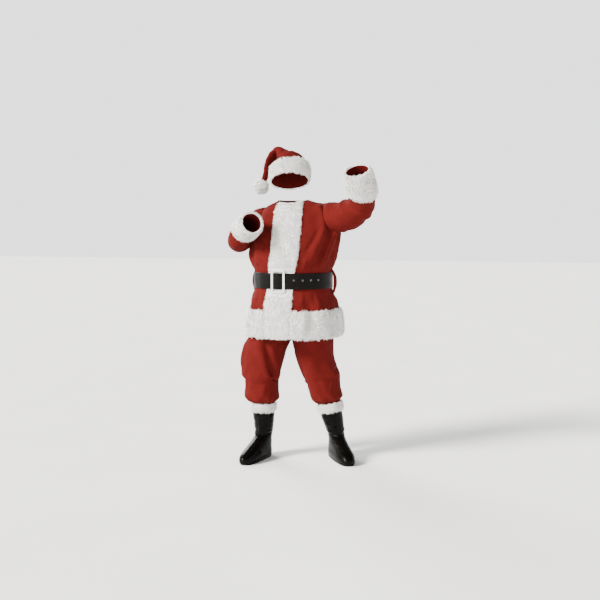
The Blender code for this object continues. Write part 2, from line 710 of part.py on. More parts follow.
def belt_point(angle, height, out):
    """A point on the belt's run, over the jacket at the sides and over the placket in front."""
    point = torso_form(angle, BELT_LEVEL)
    across = torso_form(angle + 0.01, BELT_LEVEL) - torso_form(angle - 0.01, BELT_LEVEL)
    normal = across.cross(Vector((0, 0, 1))).normalized()
    on_side = ease((abs(wrapped(angle - BUCKLE_ANGLE)) - BELT_LEAVES_FUR) / BELT_COMES_DOWN)
    lie = BELT_ON_FUR + (BELT_ON_JACKET - BELT_ON_FUR) * on_side
    return Vector((point.x, point.y, height)) + normal * (lie + out)


def strap_lift(angle):
    """How far the strap stands out: it climbs to the buckle's bar, then lies on its first layer."""
    away = (angle - BUCKLE_ANGLE) * BELT_GIRTH_RADIUS
    over_bar = BUCKLE_OUT - BUCKLE_PIN_SINK + BUCKLE_PIN + LAY_GAP - STRAP_LIFT
    layer = STRAP_LIFT * clamp((STRAP_SETTLED - away) / STRAP_SLOPE)
    return layer + over_bar * bump(away, STRAP_OVER_BAR)


def belt_strap():
    """The strap starts behind the buckle, runs round the back and ends over its own start."""
    over_fur = 0.45
    zones = [(FULL_TURN, FULL_TURN - over_fur, 8), (FULL_TURN - over_fur, over_fur, 34)]
    zones += [(over_fur, 0.16, 5), (0.16, -0.16, 12), (-0.16, -STRAP_END / BELT_GIRTH_RADIUS, 3)]
    stations = [BUCKLE_ANGLE + FULL_TURN]
    for start, end, columns in zones:
        step = (end - start) / columns
        stations += [BUCKLE_ANGLE + start + step * (k + 1) for k in range(columns)]
    columns = len(stations) - 1

    def place(u, v):
        angle = stations[columns - round(u * columns)]
        lift = strap_lift(angle) if angle - BUCKLE_ANGLE < math.pi else 0.0
        return belt_point(angle, BELT_HEIGHT + BELT_WIDTH * (v - 0.5), BELT_THICK + lift)

    strap = cloth("belt_strap", BLACK_VINYL, columns, 1, place, BELT_THICK)
    cut(strap, [eyelet_hole(number, angle) for number, angle in enumerate(EYELET_ANGLES, 1)])


def on_belt(obj, angle, rise, out):
    """Stands an object's Z axis out from the strap at an angle."""
    surface = BELT_THICK + strap_lift(angle)
    point = belt_point(angle, BELT_HEIGHT + rise, surface + out)
    normal = (point - belt_point(angle, BELT_HEIGHT + rise, 0.0)).normalized()
    obj.location = point
    obj.rotation_euler = normal.to_track_quat("Z", "Y").to_euler()


def eyelet_hole(number, angle):
    hole = bmesh.new()
    bmesh.ops.create_cone(
        hole, cap_ends=True, segments=8, radius1=EYELET_HOLE, radius2=EYELET_HOLE, depth=0.016
    )
    cutter = finish(f"hole_{number}", hole, None, CUTTERS)
    on_belt(cutter, angle, EYELET_RISE, -BELT_THICK / 2)
    return cutter


def belt_eyelet(number, angle):
    """A pressed metal rim, flat on the strap."""
    bpy.ops.mesh.primitive_torus_add(
        major_segments=10, minor_segments=4, major_radius=EYELET_RIM, minor_radius=EYELET_WIRE
    )
    rim = bpy.context.object
    rim.name = f"belt_eyelet_{number}"
    bpy.context.collection.objects.unlink(rim)
    SUIT.objects.link(rim)
    rim.parent = SOLES
    rim.data.materials.append(SILVER)
    rim.data.shade_smooth()
    on_belt(rim, angle, EYELET_RISE, EYELET_WIRE + LAY_GAP)


def rounded_outline(width, tall, radius, steps=3):
    points = []
    for turn, (right, top) in enumerate(((1, 1), (-1, 1), (-1, -1), (1, -1))):
        for k in range(steps + 1):
            a = math.pi / 2 * (turn + k / steps)
            x = right * (width / 2 - radius) + radius * math.cos(a)
            points.append((x, top * (tall / 2 - radius) + radius * math.sin(a)))
    return points


def belt_buckle():
    """A flat rectangular frame with a round bar down its middle that the strap passes over."""
    outer = rounded_outline(BUCKLE_WIDTH, BUCKLE_TALL, BUCKLE_CORNER)
    inner_width, inner_tall = BUCKLE_WIDTH - 2 * BUCKLE_BAR, BUCKLE_TALL - 2 * BUCKLE_BAR
    window = rounded_outline(inner_width, inner_tall, BUCKLE_WINDOW_CORNER)
    # The frame's section: share of the way from the outer edge to the window, and height
    chamfered = [(0, 0.6), (0.08, 1), (0.92, 1), (1, 0.6), (1, -0.6), (0.92, -1), (0.08, -1), (0, -0.6)]

    def place(u, v):
        (x1, y1), (x2, y2) = (edge[round(u * len(edge)) % len(edge)] for edge in (outer, window))
        share, height = chamfered[round(v * len(chamfered)) % len(chamfered)]
        z = height * BUCKLE_THICK / 2
        return Vector((x1 + (x2 - x1) * share, y1 + (y2 - y1) * share, z))

    buckle = closed_body("belt_buckle", SILVER, len(outer), len(chamfered), place)
    bar = bmesh.new()
    length = BUCKLE_TALL - BUCKLE_BAR
    bmesh.ops.create_cone(
        bar, cap_ends=True, segments=8, radius1=BUCKLE_PIN, radius2=BUCKLE_PIN, depth=length
    )
    bmesh.ops.rotate(bar, verts=bar.verts, matrix=Matrix.Rotation(math.pi / 2, 3, "X"))
    bmesh.ops.translate(bar, verts=bar.verts, vec=(0, 0, -BUCKLE_PIN_SINK))
    centre_bar = finish("buckle_bar", bar, None, CUTTERS)
    join = buckle.modifiers.new("centre bar", "BOOLEAN")
    join.operation = "UNION"
    join.object = centre_bar
    middle = belt_point(BUCKLE_ANGLE, BELT_HEIGHT, BUCKLE_OUT)
    normal = (middle - belt_point(BUCKLE_ANGLE, BELT_HEIGHT, 0.0)).normalized()
    for obj in (buckle, centre_bar):
        obj.location = middle
        obj.rotation_euler = normal.to_track_quat("Z", "Y").to_euler()


def belt_loop(side):
    """A carrier sewn over the side seam above and below the belt, standing slack."""
    seam = math.pi / 2 if side == "left" else -math.pi / 2
    low, high = LOOP_LEVELS
    outward = torso_normal(seam, BELT_LEVEL + 0.05)

    def place(u, v):
        level = low + (high - low) * v
        stand = 1 - abs(2 * v - 1) ** LOOP_ROUNDING
        angle = seam + (2 * u - 1) * LOOP_HALF_WIDTH / BELT_GIRTH_RADIUS
        return torso_point(angle, level, CLOTH + 3 * LAY_GAP) + outward * LOOP_SLACK * stand

    cloth("belt_loop_" + side, RED_PLUSH, 1, 12, place)


def trouser_panel(side, face):
    """A front or back trouser panel, from the inseam and centre seam to the side seam."""
    levels = levels_of(LEGS[side], 0.050)
    flip = (side == "right") != (face == "back")

    def place(u, v):
        height = levels[round(v * (len(levels) - 1))]
        start = leg_start(side, height)
        end = math.pi - SEAM_GAP / 2 / row_at(LEGS[side], height).outer
        angle = start + (end - start) * (1 - u if flip else u)
        return leg_point(side, angle if face == "front" else -angle, height)

    cloth(f"trouser_{face}_{side}", RED_PLUSH, 7, len(levels) - 1, place)


def waistband():
    """The trousers' elastic waist, held inside the jacket by the belt."""

    def place(u, v):
        level = WAIST_LEVELS[round(v)]
        column = JACKET_COLUMNS * u - LEFT_SEAM_COLUMN
        return torso_point(jacket_angle(column, level), level, -CLOTH - 2 * LAY_GAP)

    cloth("trouser_waistband", RED_PLUSH, JACKET_COLUMNS, 1, place, WAISTBAND_THICK)


def boot_cover(side):
    """A glossy cover over the shoe and shin, closed under the foot and open at the top."""
    levels = levels_of(BOOT_ROWS, 0.050)

    def place(u, v):
        return boot_point(side, u * FULL_TURN, levels[round(v * (len(levels) - 1))])

    shell = shaped_grid(20, len(levels) - 1, place)
    sole_edges = [e for e in shell.edges if e.is_boundary and e.verts[0].co.z < 0.001]
    bmesh.ops.holes_fill(shell, edges=sole_edges, sides=0)
    cover = finish("boot_cover_" + side, shell, BLACK_VINYL)
    wall = cover.modifiers.new("wall", "SOLIDIFY")
    wall.thickness = VINYL
    wall.offset = -1


def boot_fur(side):
    def place(u, v):
        share, height = fur_section(v, BOOT_FUR_DEPTH, 2.4)
        level = BOOT_FUR_BOTTOM + (BOOT_FUR_TOP - BOOT_FUR_BOTTOM) * share
        return boot_point(side, u * FULL_TURN, min(level, BOOT_TOP), 2 * LAY_GAP + height)

    closed_body("boot_fur_" + side, WHITE_FUR, 20, 7, place)


def hat_crown():
    stations = tube_stations(HAT_BAND_START, HAT_BAND_LENGTH, HAT.length, 15, HAT_BAND_START)

    def place(u, v):
        return hat_point(u * FULL_TURN, stations[round(v * (len(stations) - 1))])

    cloth("hat_crown", RED_PLUSH, HAT_SIDES, len(stations) - 1, place)


def hat_band():
    def place(u, v):
        share, height = fur_section(v, FUR_DEPTH, 2.6)
        return hat_point(u * FULL_TURN, HAT_BAND_START + HAT_BAND_LENGTH * share, LAY_GAP + height)

    closed_body("hat_band", WHITE_FUR, HAT_SIDES, 8, place)


def hat_pompom():
    ball = bmesh.new()
    bmesh.ops.create_uvsphere(ball, u_segments=14, v_segments=9, radius=POMPOM_RADIUS)
    pompom = finish("hat_pompom", ball, WHITE_FUR)
    rim = HAT_ROWS[-1].wide - CLOTH
    reach = math.sqrt(POMPOM_RADIUS**2 - rim**2)
    pompom.location = HAT.middle(HAT.length + reach)


clear_scene()
SUIT = new_collection("santa_suit")
CUTTERS = new_collection("cutters")
SOLES = bpy.data.objects.new("soles", None)
SUIT.objects.link(SOLES)
SOLES.location = (0, 0, -NECK_HEIGHT)

RED_PLUSH = new_material("red_plush", (0.33, 0.012, 0.012), 0.9)
WHITE_FUR = new_material("white_fur", (0.82, 0.81, 0.78), 0.95)
BLACK_VINYL = new_material("black_vinyl", (0.010, 0.010, 0.009), 0.35)
SILVER = new_material("silver_metal", (0.80, 0.80, 0.80), 0.25, 1.0)

ARMHOLES = [
    closed_body(
        "armhole_" + side,
        None,
        SLEEVE_SIDES,
        4,
        lambda u, v, side=side: sleeve_point(side, u * FULL_TURN, v * 0.24, -CLOTH - LAY_GAP),
        CUTTERS,
    )
    for side in ("right", "left")
]
UPPER_LEVELS = [level for level in JACKET_LEVELS if level > BELT_HEIGHT]
BODY_SHAPE = closed_body(
    "body_shape",
    None,
    JACKET_COLUMNS,
    len(UPPER_LEVELS) - 1,
    lambda u, v: body_point(
        JACKET_COLUMNS * u - LEFT_SEAM_COLUMN, UPPER_LEVELS[round(v * (len(UPPER_LEVELS) - 1))]
    ),
    CUTTERS,
)

torso_panel("jacket_front_left", 0, LEFT_SEAM_COLUMN)
torso_panel("jacket_front_right", RIGHT_SEAM_COLUMN - JACKET_COLUMNS, 0)
torso_panel("jacket_back", LEFT_SEAM_COLUMN, RIGHT_SEAM_COLUMN)
for side in ("right", "left"):
    sleeve(side)
    fur_cuff(side)
    belt_loop(side)
    trouser_panel(side, "front")
    trouser_panel(side, "back")
    boot_cover(side)
    boot_fur(side)
fur_placket()
fur_hem()
belt_strap()
belt_buckle()
for number, angle in enumerate(EYELET_ANGLES, 1):
    belt_eyelet(number, angle)
waistband()
hat_crown()
hat_band()
hat_pompom()
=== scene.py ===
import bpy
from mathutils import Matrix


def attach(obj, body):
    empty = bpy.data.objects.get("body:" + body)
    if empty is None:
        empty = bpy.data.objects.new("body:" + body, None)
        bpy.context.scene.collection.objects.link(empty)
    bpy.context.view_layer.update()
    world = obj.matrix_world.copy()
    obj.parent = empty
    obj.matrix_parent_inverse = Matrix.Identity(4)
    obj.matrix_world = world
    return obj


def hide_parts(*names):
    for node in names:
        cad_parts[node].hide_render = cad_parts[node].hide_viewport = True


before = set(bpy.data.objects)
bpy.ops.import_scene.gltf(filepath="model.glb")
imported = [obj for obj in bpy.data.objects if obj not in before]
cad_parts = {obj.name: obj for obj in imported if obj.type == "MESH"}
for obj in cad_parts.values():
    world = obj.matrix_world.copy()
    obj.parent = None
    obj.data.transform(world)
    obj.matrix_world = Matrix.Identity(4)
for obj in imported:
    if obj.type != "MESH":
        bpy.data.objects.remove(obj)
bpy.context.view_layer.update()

import math
from collections import namedtuple

import bmesh
import bpy
import numpy as np
from mathutils import Matrix, Vector, noise

# a worn Santa suit: plush jacket, trousers and hat, fur trims, leathercloth belt and boot covers
# metres, heights above the soles; +X is the wearer's left, -Y the front
suit = {
    "neckHeight": 1.475,  # the model's origin, at the base of the neck
    "cloth": 0.0024,  # plush with its backing
    "vinyl": 0.0022,
    "seamGap": 0.00005,
    "layGap": 0.0003,
    "armholeGap": 0.00072,
    "squareness": 0.92,  # 1 gives elliptical sections, less gives squarer ones
    "foldSpread": 1.6,  # a fold's foot reaches this much wider than its stated width
    "foldCrispness": 1.4,  # higher gives sharper ridges
    "turnStep": 0.01,  # angle and height over which slopes are measured
    "levelStep": 0.002,
    "nudge": 1e-6,  # points nearer than this are one
}
fullTurn = 2 * math.pi
print("frame loaded")

# camera, floor and light
studio = {
    "cameraPlace": (1.581, -4.744, -0.12),
    "cameraPitch": 4.83,  # degrees down
    "cameraTurn": 18.0,
    "lens": 51.3,
    "floorSize": 60.0,
    # a pale wall all round, lit up to this share of the way overhead, and a dimmer ceiling
    "wallTop": 0.30,
    "wallFade": 0.25,
    "wallLight": 2.3,
    "ceilingLight": 0.20,
    "backdropColour": "#FFFFFF",
    # softboxes far off: name, azimuth from the front towards the wearer's left, elevation,
    # strength, spread, colour
    "lights": [
        ("key", -46, 31, 11.5, 18, "#FFFBF5"),
        ("fill", 60, 20, 0.25, 60, "#F8F8FF"),
        ("behind", 232, 30, 4.2, 30, "#FFFDFB"),
    ],
}


def linear(hexColour):
    # sRGB hex to linear, with alpha
    channels = [int(hexColour[k:k + 2], 16) / 255 for k in (1, 3, 5)]
    channels = [c / 12.92 if c <= 0.04045 else ((c + 0.055) / 1.055) ** 2.4 for c in channels]
    return (*channels, 1.0)


def addNode(material, kind, settings=None, values=None, links=None):
    node = material.node_tree.nodes.new(kind)
    for name, value in (settings or {}).items():
        setattr(node, name, value)
    for socket, value in (values or {}).items():
        node.inputs[socket].default_value = value
    for socket, source in (links or {}).items():
        material.node_tree.links.new(source, node.inputs[socket])
    return node


cameraData = bpy.data.cameras.new("camera")
cameraData.lens = studio["lens"]
cameraData.sensor_width = 36
camera = bpy.data.objects.new("camera", cameraData)
bpy.context.scene.collection.objects.link(camera)
camera.location = studio["cameraPlace"]
camera.rotation_euler = (math.radians(90 - studio["cameraPitch"]), 0, math.radians(studio["cameraTurn"]))
bpy.context.scene.camera = camera

world = bpy.data.worlds.new("studio")
bpy.context.scene.world = world
world.use_nodes = True
direction = addNode(world, "ShaderNodeTexCoord").outputs["Generated"]
height = addNode(world, "ShaderNodeSeparateXYZ", links={"Vector": direction}).outputs["Z"]
wallRange = {
    "From Min": studio["wallTop"], "From Max": studio["wallTop"] + studio["wallFade"],
    "To Min": studio["wallLight"], "To Max": studio["ceilingLight"],
}
wall = addNode(world, "ShaderNodeMapRange", {"interpolation_type": "SMOOTHSTEP"}, wallRange, {"Value": height})
world.node_tree.nodes["Background"].inputs["Color"].default_value = linear(studio["backdropColour"])
world.node_tree.links.new(wall.outputs["Result"], world.node_tree.nodes["Background"].inputs["Strength"])

for name, azimuth, elevation, strength, spread, colour in studio["lights"]:
    lamp = bpy.data.lights.new(name, "SUN")
    lamp.energy = strength
    lamp.angle = math.radians(spread)
    lamp.color = linear(colour)[:3]
    light = bpy.data.objects.new(name, lamp)
    around, high = math.radians(azimuth), math.radians(elevation)
    towards = Vector((math.sin(around) * math.cos(high), -math.cos(around) * math.cos(high), math.sin(high)))
    light.rotation_euler = towards.to_track_quat("Z", "Y").to_euler()
    light.location = towards * 4
    bpy.context.scene.collection.objects.link(light)
print("camera and lights placed")


def newMaterial(name, colour, roughness, metallic=0.0):
    material = bpy.data.materials.new(name)
    material.use_nodes = True
    shader = material.node_tree.nodes["Principled BSDF"]
    shader.inputs["Base Color"].default_value = linear(colour)
    shader.inputs["Roughness"].default_value = roughness
    shader.inputs["Metallic"].default_value = metallic
    return material, shader


def texture(material, kind, settings=None, stretch=None, **values):
    # a procedural pattern in the piece's own coordinates
    place = addNode(material, "ShaderNodeTexCoord").outputs["Object"]
    if stretch:
        mapping = addNode(material, "ShaderNodeMapping", values={"Scale": stretch}, links={"Vector": place})
        place = mapping.outputs["Vector"]
    return addNode(material, "ShaderNodeTex" + kind, settings, values, {"Vector": place})


def ramp(material, factor, stops):
    # colours, or plain values, along a factor; the first two stops are there already
    node = addNode(material, "ShaderNodeValToRGB", links={"Fac": factor})
    elements = node.color_ramp.elements
    for k, (place, colour) in enumerate(stops):
        element = elements[k] if k < 2 else elements.new(place)
        element.position = place
        element.color = linear(colour) if isinstance(colour, str) else (colour, colour, colour, 1)
    return node.outputs["Color"]


def feed(material, shader, socket, output):
    material.node_tree.links.new(output, shader.inputs[socket])


def addRelief(material, shader, height, strength, distance):
    relief = addNode(
        material, "ShaderNodeBump", None, {"Strength": strength, "Distance": distance}, {"Height": height})
    feed(material, shader, "Normal", relief.outputs["Normal"])


def plushMaterial():
    # polyester plush: a short dense pile that scatters light softly and matt,
    # a little darker where it is crushed, with a faint bloom at the edges
    material, shader = newMaterial("redPlush", "#4E1210", 0.9)
    shader.inputs["Sheen Weight"].default_value = 0.03
    shader.inputs["Sheen Roughness"].default_value = 0.4
    shader.inputs["Sheen Tint"].default_value = linear("#D8564C")
    shader.inputs["Specular IOR Level"].default_value = 0.05
    # pile crushed in patches about 60 mm across
    crushed = texture(material, "Noise", Scale=16.0, Detail=3.0, Roughness=0.5, Distortion=0.5)
    # the nap's tufts: 1.5 mm on the cloth, drawn at 4 mm so that they show
    nap = texture(material, "Noise", Scale=250.0, Detail=3.0, Roughness=0.7)
    patches = ramp(material, crushed.outputs["Fac"], [(0.3, "#48100E"), (0.7, "#531311")])
    tufts = ramp(material, nap.outputs["Fac"], [(0.25, "#460F0D"), (0.8, "#561513")])
    base = addNode(
        material, "ShaderNodeMix", {"data_type": "RGBA"}, {"Factor": 0.35}, {"A": patches, "B": tufts})
    feed(material, shader, "Base Color", base.outputs["Result"])
    addRelief(material, shader, nap.outputs["Fac"], 0.16, 0.001)
    return material


def furMaterial():
    # acrylic fake fur: ivory-white staples with a soft lustre, and painted shade that greys the pile down
    # between the locks
    material, shader = newMaterial("whiteFakeFur", "#F7F5F1", 0.8)
    shader.inputs["Sheen Weight"].default_value = 0.35
    shader.inputs["Sheen Roughness"].default_value = 0.5
    shader.inputs["Specular IOR Level"].default_value = 0.3
    patches = texture(material, "Noise", Scale=45.0, Detail=3.0, Roughness=0.6)
    tint = ramp(material, patches.outputs["Fac"], [(0.3, "#F3F0EB"), (0.72, "#FDFCF9")])
    # each lock keeps its own random shade, and painted shade makes it greyer at its root
    toneAndPaintedShade = addNode(material, "ShaderNodeAttribute", {"attribute_name": "lockToneAndPaintedShade"})
    final = addNode(
        material, "ShaderNodeMix", {"data_type": "RGBA", "blend_type": "MULTIPLY"}, {"Factor": 1.0},
        {"A": tint, "B": toneAndPaintedShade.outputs["Color"]})
    feed(material, shader, "Base Color", final.outputs["Result"])
    strands = texture(material, "Noise", Scale=420.0, Detail=2.0, Roughness=0.7)
    addRelief(material, shader, strands.outputs["Fac"], 0.4, 0.0015)
    return material


def bootMaterial():
    # PVC leathercloth with a wet gloss: clear sharp highlights that break over fine wrinkles
    material, shader = newMaterial("glossVinyl", "#060504", 0.2)
    shader.inputs["Specular IOR Level"].default_value = 0.05
    # puckers 12 mm apart, and a pressed grain of 1.5 mm
    puckers = texture(material, "Noise", Scale=42.0, Detail=3.0, Roughness=0.5, Distortion=0.8)
    grain = texture(material, "Voronoi", {"feature": "F1"}, Scale=620.0)
    handled = texture(material, "Noise", Scale=16.0, Detail=4.0)
    gloss = ramp(material, handled.outputs["Fac"], [(0.35, 0.15), (0.72, 0.34)])
    feed(material, shader, "Roughness", gloss)
    height = addNode(
        material, "ShaderNodeMath", {"operation": "MULTIPLY_ADD"}, {1: 0.10},
        {0: grain.outputs["Distance"], 2: puckers.outputs["Fac"]})
    addRelief(material, shader, height.outputs["Value"], 0.25, 0.004)
    return material


def beltMaterial():
    # embossed leathercloth with a satin face: a broad soft sheen, duller in the grain
    material, shader = newMaterial("satinLeathercloth", "#0F0E0C", 0.4)
    shader.inputs["Specular IOR Level"].default_value = 0.06
    # leather grain: cells 1.2 mm across, drawn at 2.5 mm so that they show
    grain = texture(material, "Voronoi", {"feature": "F1"}, Scale=400.0, Randomness=1.0)
    rubbed = texture(material, "Noise", Scale=22.0, Detail=5.0, Roughness=0.65).outputs["Fac"]
    feed(material, shader, "Roughness", ramp(material, rubbed, [(0.3, 0.32), (0.75, 0.52)]))
    feed(material, shader, "Base Color", ramp(material, rubbed, [(0.3, "#070605"), (0.8, "#0E0D0A")]))
    addRelief(material, shader, grain.outputs["Distance"], 0.3, 0.0012)
    return material


def buckleMaterial():
    # nickel-plated die casting: bright and pale, with fine handling scratches
    material, shader = newMaterial("brightNickel", "#F1F0EC", 0.24, 1.0)
    scratches = texture(material, "Noise", stretch=(1.0, 1.0, 0.06), Scale=900.0, Detail=2.0)
    worn = texture(material, "Noise", Scale=60.0, Detail=4.0)
    feed(material, shader, "Roughness", ramp(material, worn.outputs["Fac"], [(0.3, 0.17), (0.75, 0.34)]))
    addRelief(material, shader, scratches.outputs["Fac"], 0.08, 0.0004)
    return material


def eyeletMaterial():
    # stamped nickel rims, dulled by handling: small soft greyish glints on the black strap
    material, shader = newMaterial("dulledNickel", "#77736A", 0.45, 1.0)
    tarnish = texture(material, "Noise", Scale=260.0, Detail=3.0)
    tone = ramp(material, tarnish.outputs["Fac"], [(0.3, "#57544C"), (0.75, "#827E75")])
    feed(material, shader, "Base Color", tone)
    return material


def floorMaterial():
    # painted studio floor, matt and nearly white, with a faint mottle
    material, shader = newMaterial("paleFloor", "#F2F2F1", 0.9)
    shader.inputs["Specular IOR Level"].default_value = 0.1
    mottle = texture(material, "Noise", Scale=1.5, Detail=3.0)
    tone = ramp(material, mottle.outputs["Fac"], [(0.3, "#F1F1F0"), (0.7, "#F5F5F4")])
    feed(material, shader, "Base Color", tone)
    return material


redPlush = plushMaterial()
whiteFur = furMaterial()
glossVinyl = bootMaterial()
satinLeathercloth = beltMaterial()
brightNickel = buckleMaterial()
dulledNickel = eyeletMaterial()
print("materials made")

floorShape = bmesh.new()
bmesh.ops.create_grid(floorShape, x_segments=4, y_segments=4, size=studio["floorSize"] / 2)
bmesh.ops.translate(floorShape, verts=floorShape.verts, vec=(0, 0, -suit["neckHeight"]))
floorMesh = bpy.data.meshes.new("floor")
floorShape.to_mesh(floorMesh)
floorShape.free()
floorMesh.materials.append(floorMaterial())
floor = bpy.data.objects.new("floor", floorMesh)
bpy.context.scene.collection.objects.link(floor)


class Rows:
    # a table with named columns, read as a smooth curve through its rows
    def __init__(self, columns, rows, keys=None):
        self.kind = namedtuple("Row", columns)
        self.rows = [self.kind(*row) for row in rows]
        self.keys = keys or [row[0] for row in self.rows]
        self.seen = {}

    def at(self, position):
        position = round(min(max(position, self.keys[0]), self.keys[-1]), 6)
        if position in self.seen:
            return self.seen[position]
        last = len(self.rows) - 1
        i = max(k for k in range(last) if self.keys[k] <= position)
        span = self.keys[i + 1] - self.keys[i]
        t = (position - self.keys[i]) / span
        values = []
        for column in range(len(self.rows[0])):
            start, end = self.rows[i][column], self.rows[i + 1][column]
            slopes = []
            for k in (i, i + 1):
                low, high = max(k - 1, 0), min(k + 1, last)
                rise = self.rows[high][column] - self.rows[low][column]
                slopes.append(rise / (self.keys[high] - self.keys[low]) * span)
            values.append(
                (2 * t**3 - 3 * t**2 + 1) * start + (t**3 - 2 * t**2 + t) * slopes[0]
                + (3 * t**2 - 2 * t**3) * end + (t**3 - t**2) * slopes[1]
            )
        self.seen[position] = self.kind(*values)
        return self.seen[position]


def signedPower(value, power):
    return math.copysign(abs(value) ** power, value)


def clamp(value):
    return min(max(value, 0.0), 1.0)


def ease(value):
    value = clamp(value)
    return value * value * (3 - 2 * value)


def bump(distance, width):
    # 1 on the line of a fold, down to 0 at its width
    share = abs(distance) / width
    return 0.5 + 0.5 * math.cos(math.pi * share) if share < 1 else 0.0


def wrapped(angle):
    return (angle + math.pi) % fullTurn - math.pi


def foldHeight(folds, angle, height, radius, ends=0.05):
    total = 0.0
    for lowAngle, highAngle, low, high, width, depth in folds:
        if not low - ends < height < high + ends:
            continue
        share = (height - low) / (high - low)
        away = wrapped(angle - lowAngle - (highAngle - lowAngle) * share)
        reach = ease(min(height - low, high - height) / ends + 0.5)
        total += depth * bump(away * radius, width * suit["foldSpread"]) ** suit["foldCrispness"] * reach
    return total


def creaseHeight(creases, angle, run, length=1.0, scale=1.0):
    # creases round a tube, each strongest at one angle and slanting round from there
    total = 0.0
    for line, facing, width, depth, slant in creases:
        strength = 0.5 + 0.5 * math.cos(angle - facing)
        crease = bump(run - line * length - slant * math.sin(angle - facing), width)
        total += depth * strength * crease * (scale if slant else 1.0)
    return total


def soften(point, size, depth):
    # the slight unevenness of hanging cloth
    return noise.noise(point / size) * depth


class Tube:
    # sections along a smooth line, with a frame that doesn't twist
    step = 0.004

    def __init__(self, columns, rows, firstSide):
        middles = [Vector(row[:3]) for row in rows]
        keys = [0.0]
        for before, after in zip(middles, middles[1:]):
            keys.append(keys[-1] + (after - before).length)
        self.rows = Rows(columns, rows, keys)
        self.length = keys[-1]
        self.frames = {}
        self.sides = []
        side = Vector(firstSide)
        for k in range(round(self.length / self.step) + 1):
            ahead = self.ahead(k * self.step)
            side = (side - ahead * side.dot(ahead)).normalized()
            self.sides.append(side)

    def line(self, run):
        return Vector(self.rows.at(run)[:3])

    def middle(self, run):
        # it goes straight on past its ends
        inside = min(max(run, 0.0), self.length)
        return self.line(inside) + self.ahead(inside) * (run - inside)

    def ahead(self, run):
        low, high = max(run - self.step, 0.0), min(run + self.step, self.length)
        if high <= low:
            low, high = (0.0, self.step) if run <= 0 else (self.length - self.step, self.length)
        return (self.line(high) - self.line(low)).normalized()

    def frame(self, run):
        # middle, side and up at a run from the start
        run = round(run, 6)
        if run not in self.frames:
            spot = min(max(run / self.step, 0.0), len(self.sides) - 1.001)
            k = int(spot)
            ahead = self.ahead(min(max(run, 0.0), self.length))
            side = self.sides[k].lerp(self.sides[k + 1], spot - k)
            side = (side - ahead * side.dot(ahead)).normalized()
            self.frames[run] = (self.middle(run), side, ahead.cross(side))
        return self.frames[run]


def shapedGrid(columns, rows, place):
    # a sheet whose points are placed by place(u, v), both from 0 to 1; edges that meet are joined
    sheet = bmesh.new()
    bmesh.ops.create_grid(sheet, x_segments=columns, y_segments=rows, size=0.5)
    for vertex in sheet.verts:
        vertex.co = place(vertex.co.x + 0.5, vertex.co.y + 0.5)
    bmesh.ops.remove_doubles(sheet, verts=sheet.verts, dist=suit["nudge"])
    return sheet


def orderBody(body):
    # merging leaves vertices and faces in a loose order; this makes every run the same
    across = Vector((1.0, 0.6180, 0.3142))
    body.verts.sort(key=lambda vertex: vertex.co.dot(across))
    body.faces.sort(key=lambda face: face.calc_center_median().dot(across))
    body.verts.index_update()
    body.faces.index_update()


def finishPiece(name, shape, material, nodes=(), sharp=40):
    # heights above the soles become heights over the origin
    bmesh.ops.translate(shape, verts=shape.verts, vec=(0, 0, -suit["neckHeight"]))
    mesh = bpy.data.meshes.new(name)
    shape.to_mesh(mesh)
    shape.free()
    mesh.shade_smooth()
    mesh.set_sharp_from_angle(angle=math.radians(sharp))
    piece = bpy.data.objects.new(name, mesh)
    bpy.context.scene.collection.objects.link(piece)
    if material:
        mesh.materials.append(material)
        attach(piece, "root")
    if nodes:
        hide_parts(*nodes)
    return piece


def addBoolean(piece, name, operation, other):
    boolean = piece.modifiers.new(name, "BOOLEAN")
    boolean.operation = operation
    boolean.solver = "EXACT"
    boolean.object = other


def applyModifiers(piece):
    evaluated = piece.evaluated_get(bpy.context.evaluated_depsgraph_get())
    mesh = bpy.data.meshes.new_from_object(evaluated)
    piece.modifiers.clear()
    piece.data = mesh
    return piece


def thicken(piece, thick, cutters=()):
    # the wall grows inwards, and holes are cut after
    wall = piece.modifiers.new("wall", "SOLIDIFY")
    wall.thickness = thick
    wall.offset = -1
    for cutter in cutters:
        addBoolean(piece, "hole", "DIFFERENCE", cutter)
    return applyModifiers(piece)


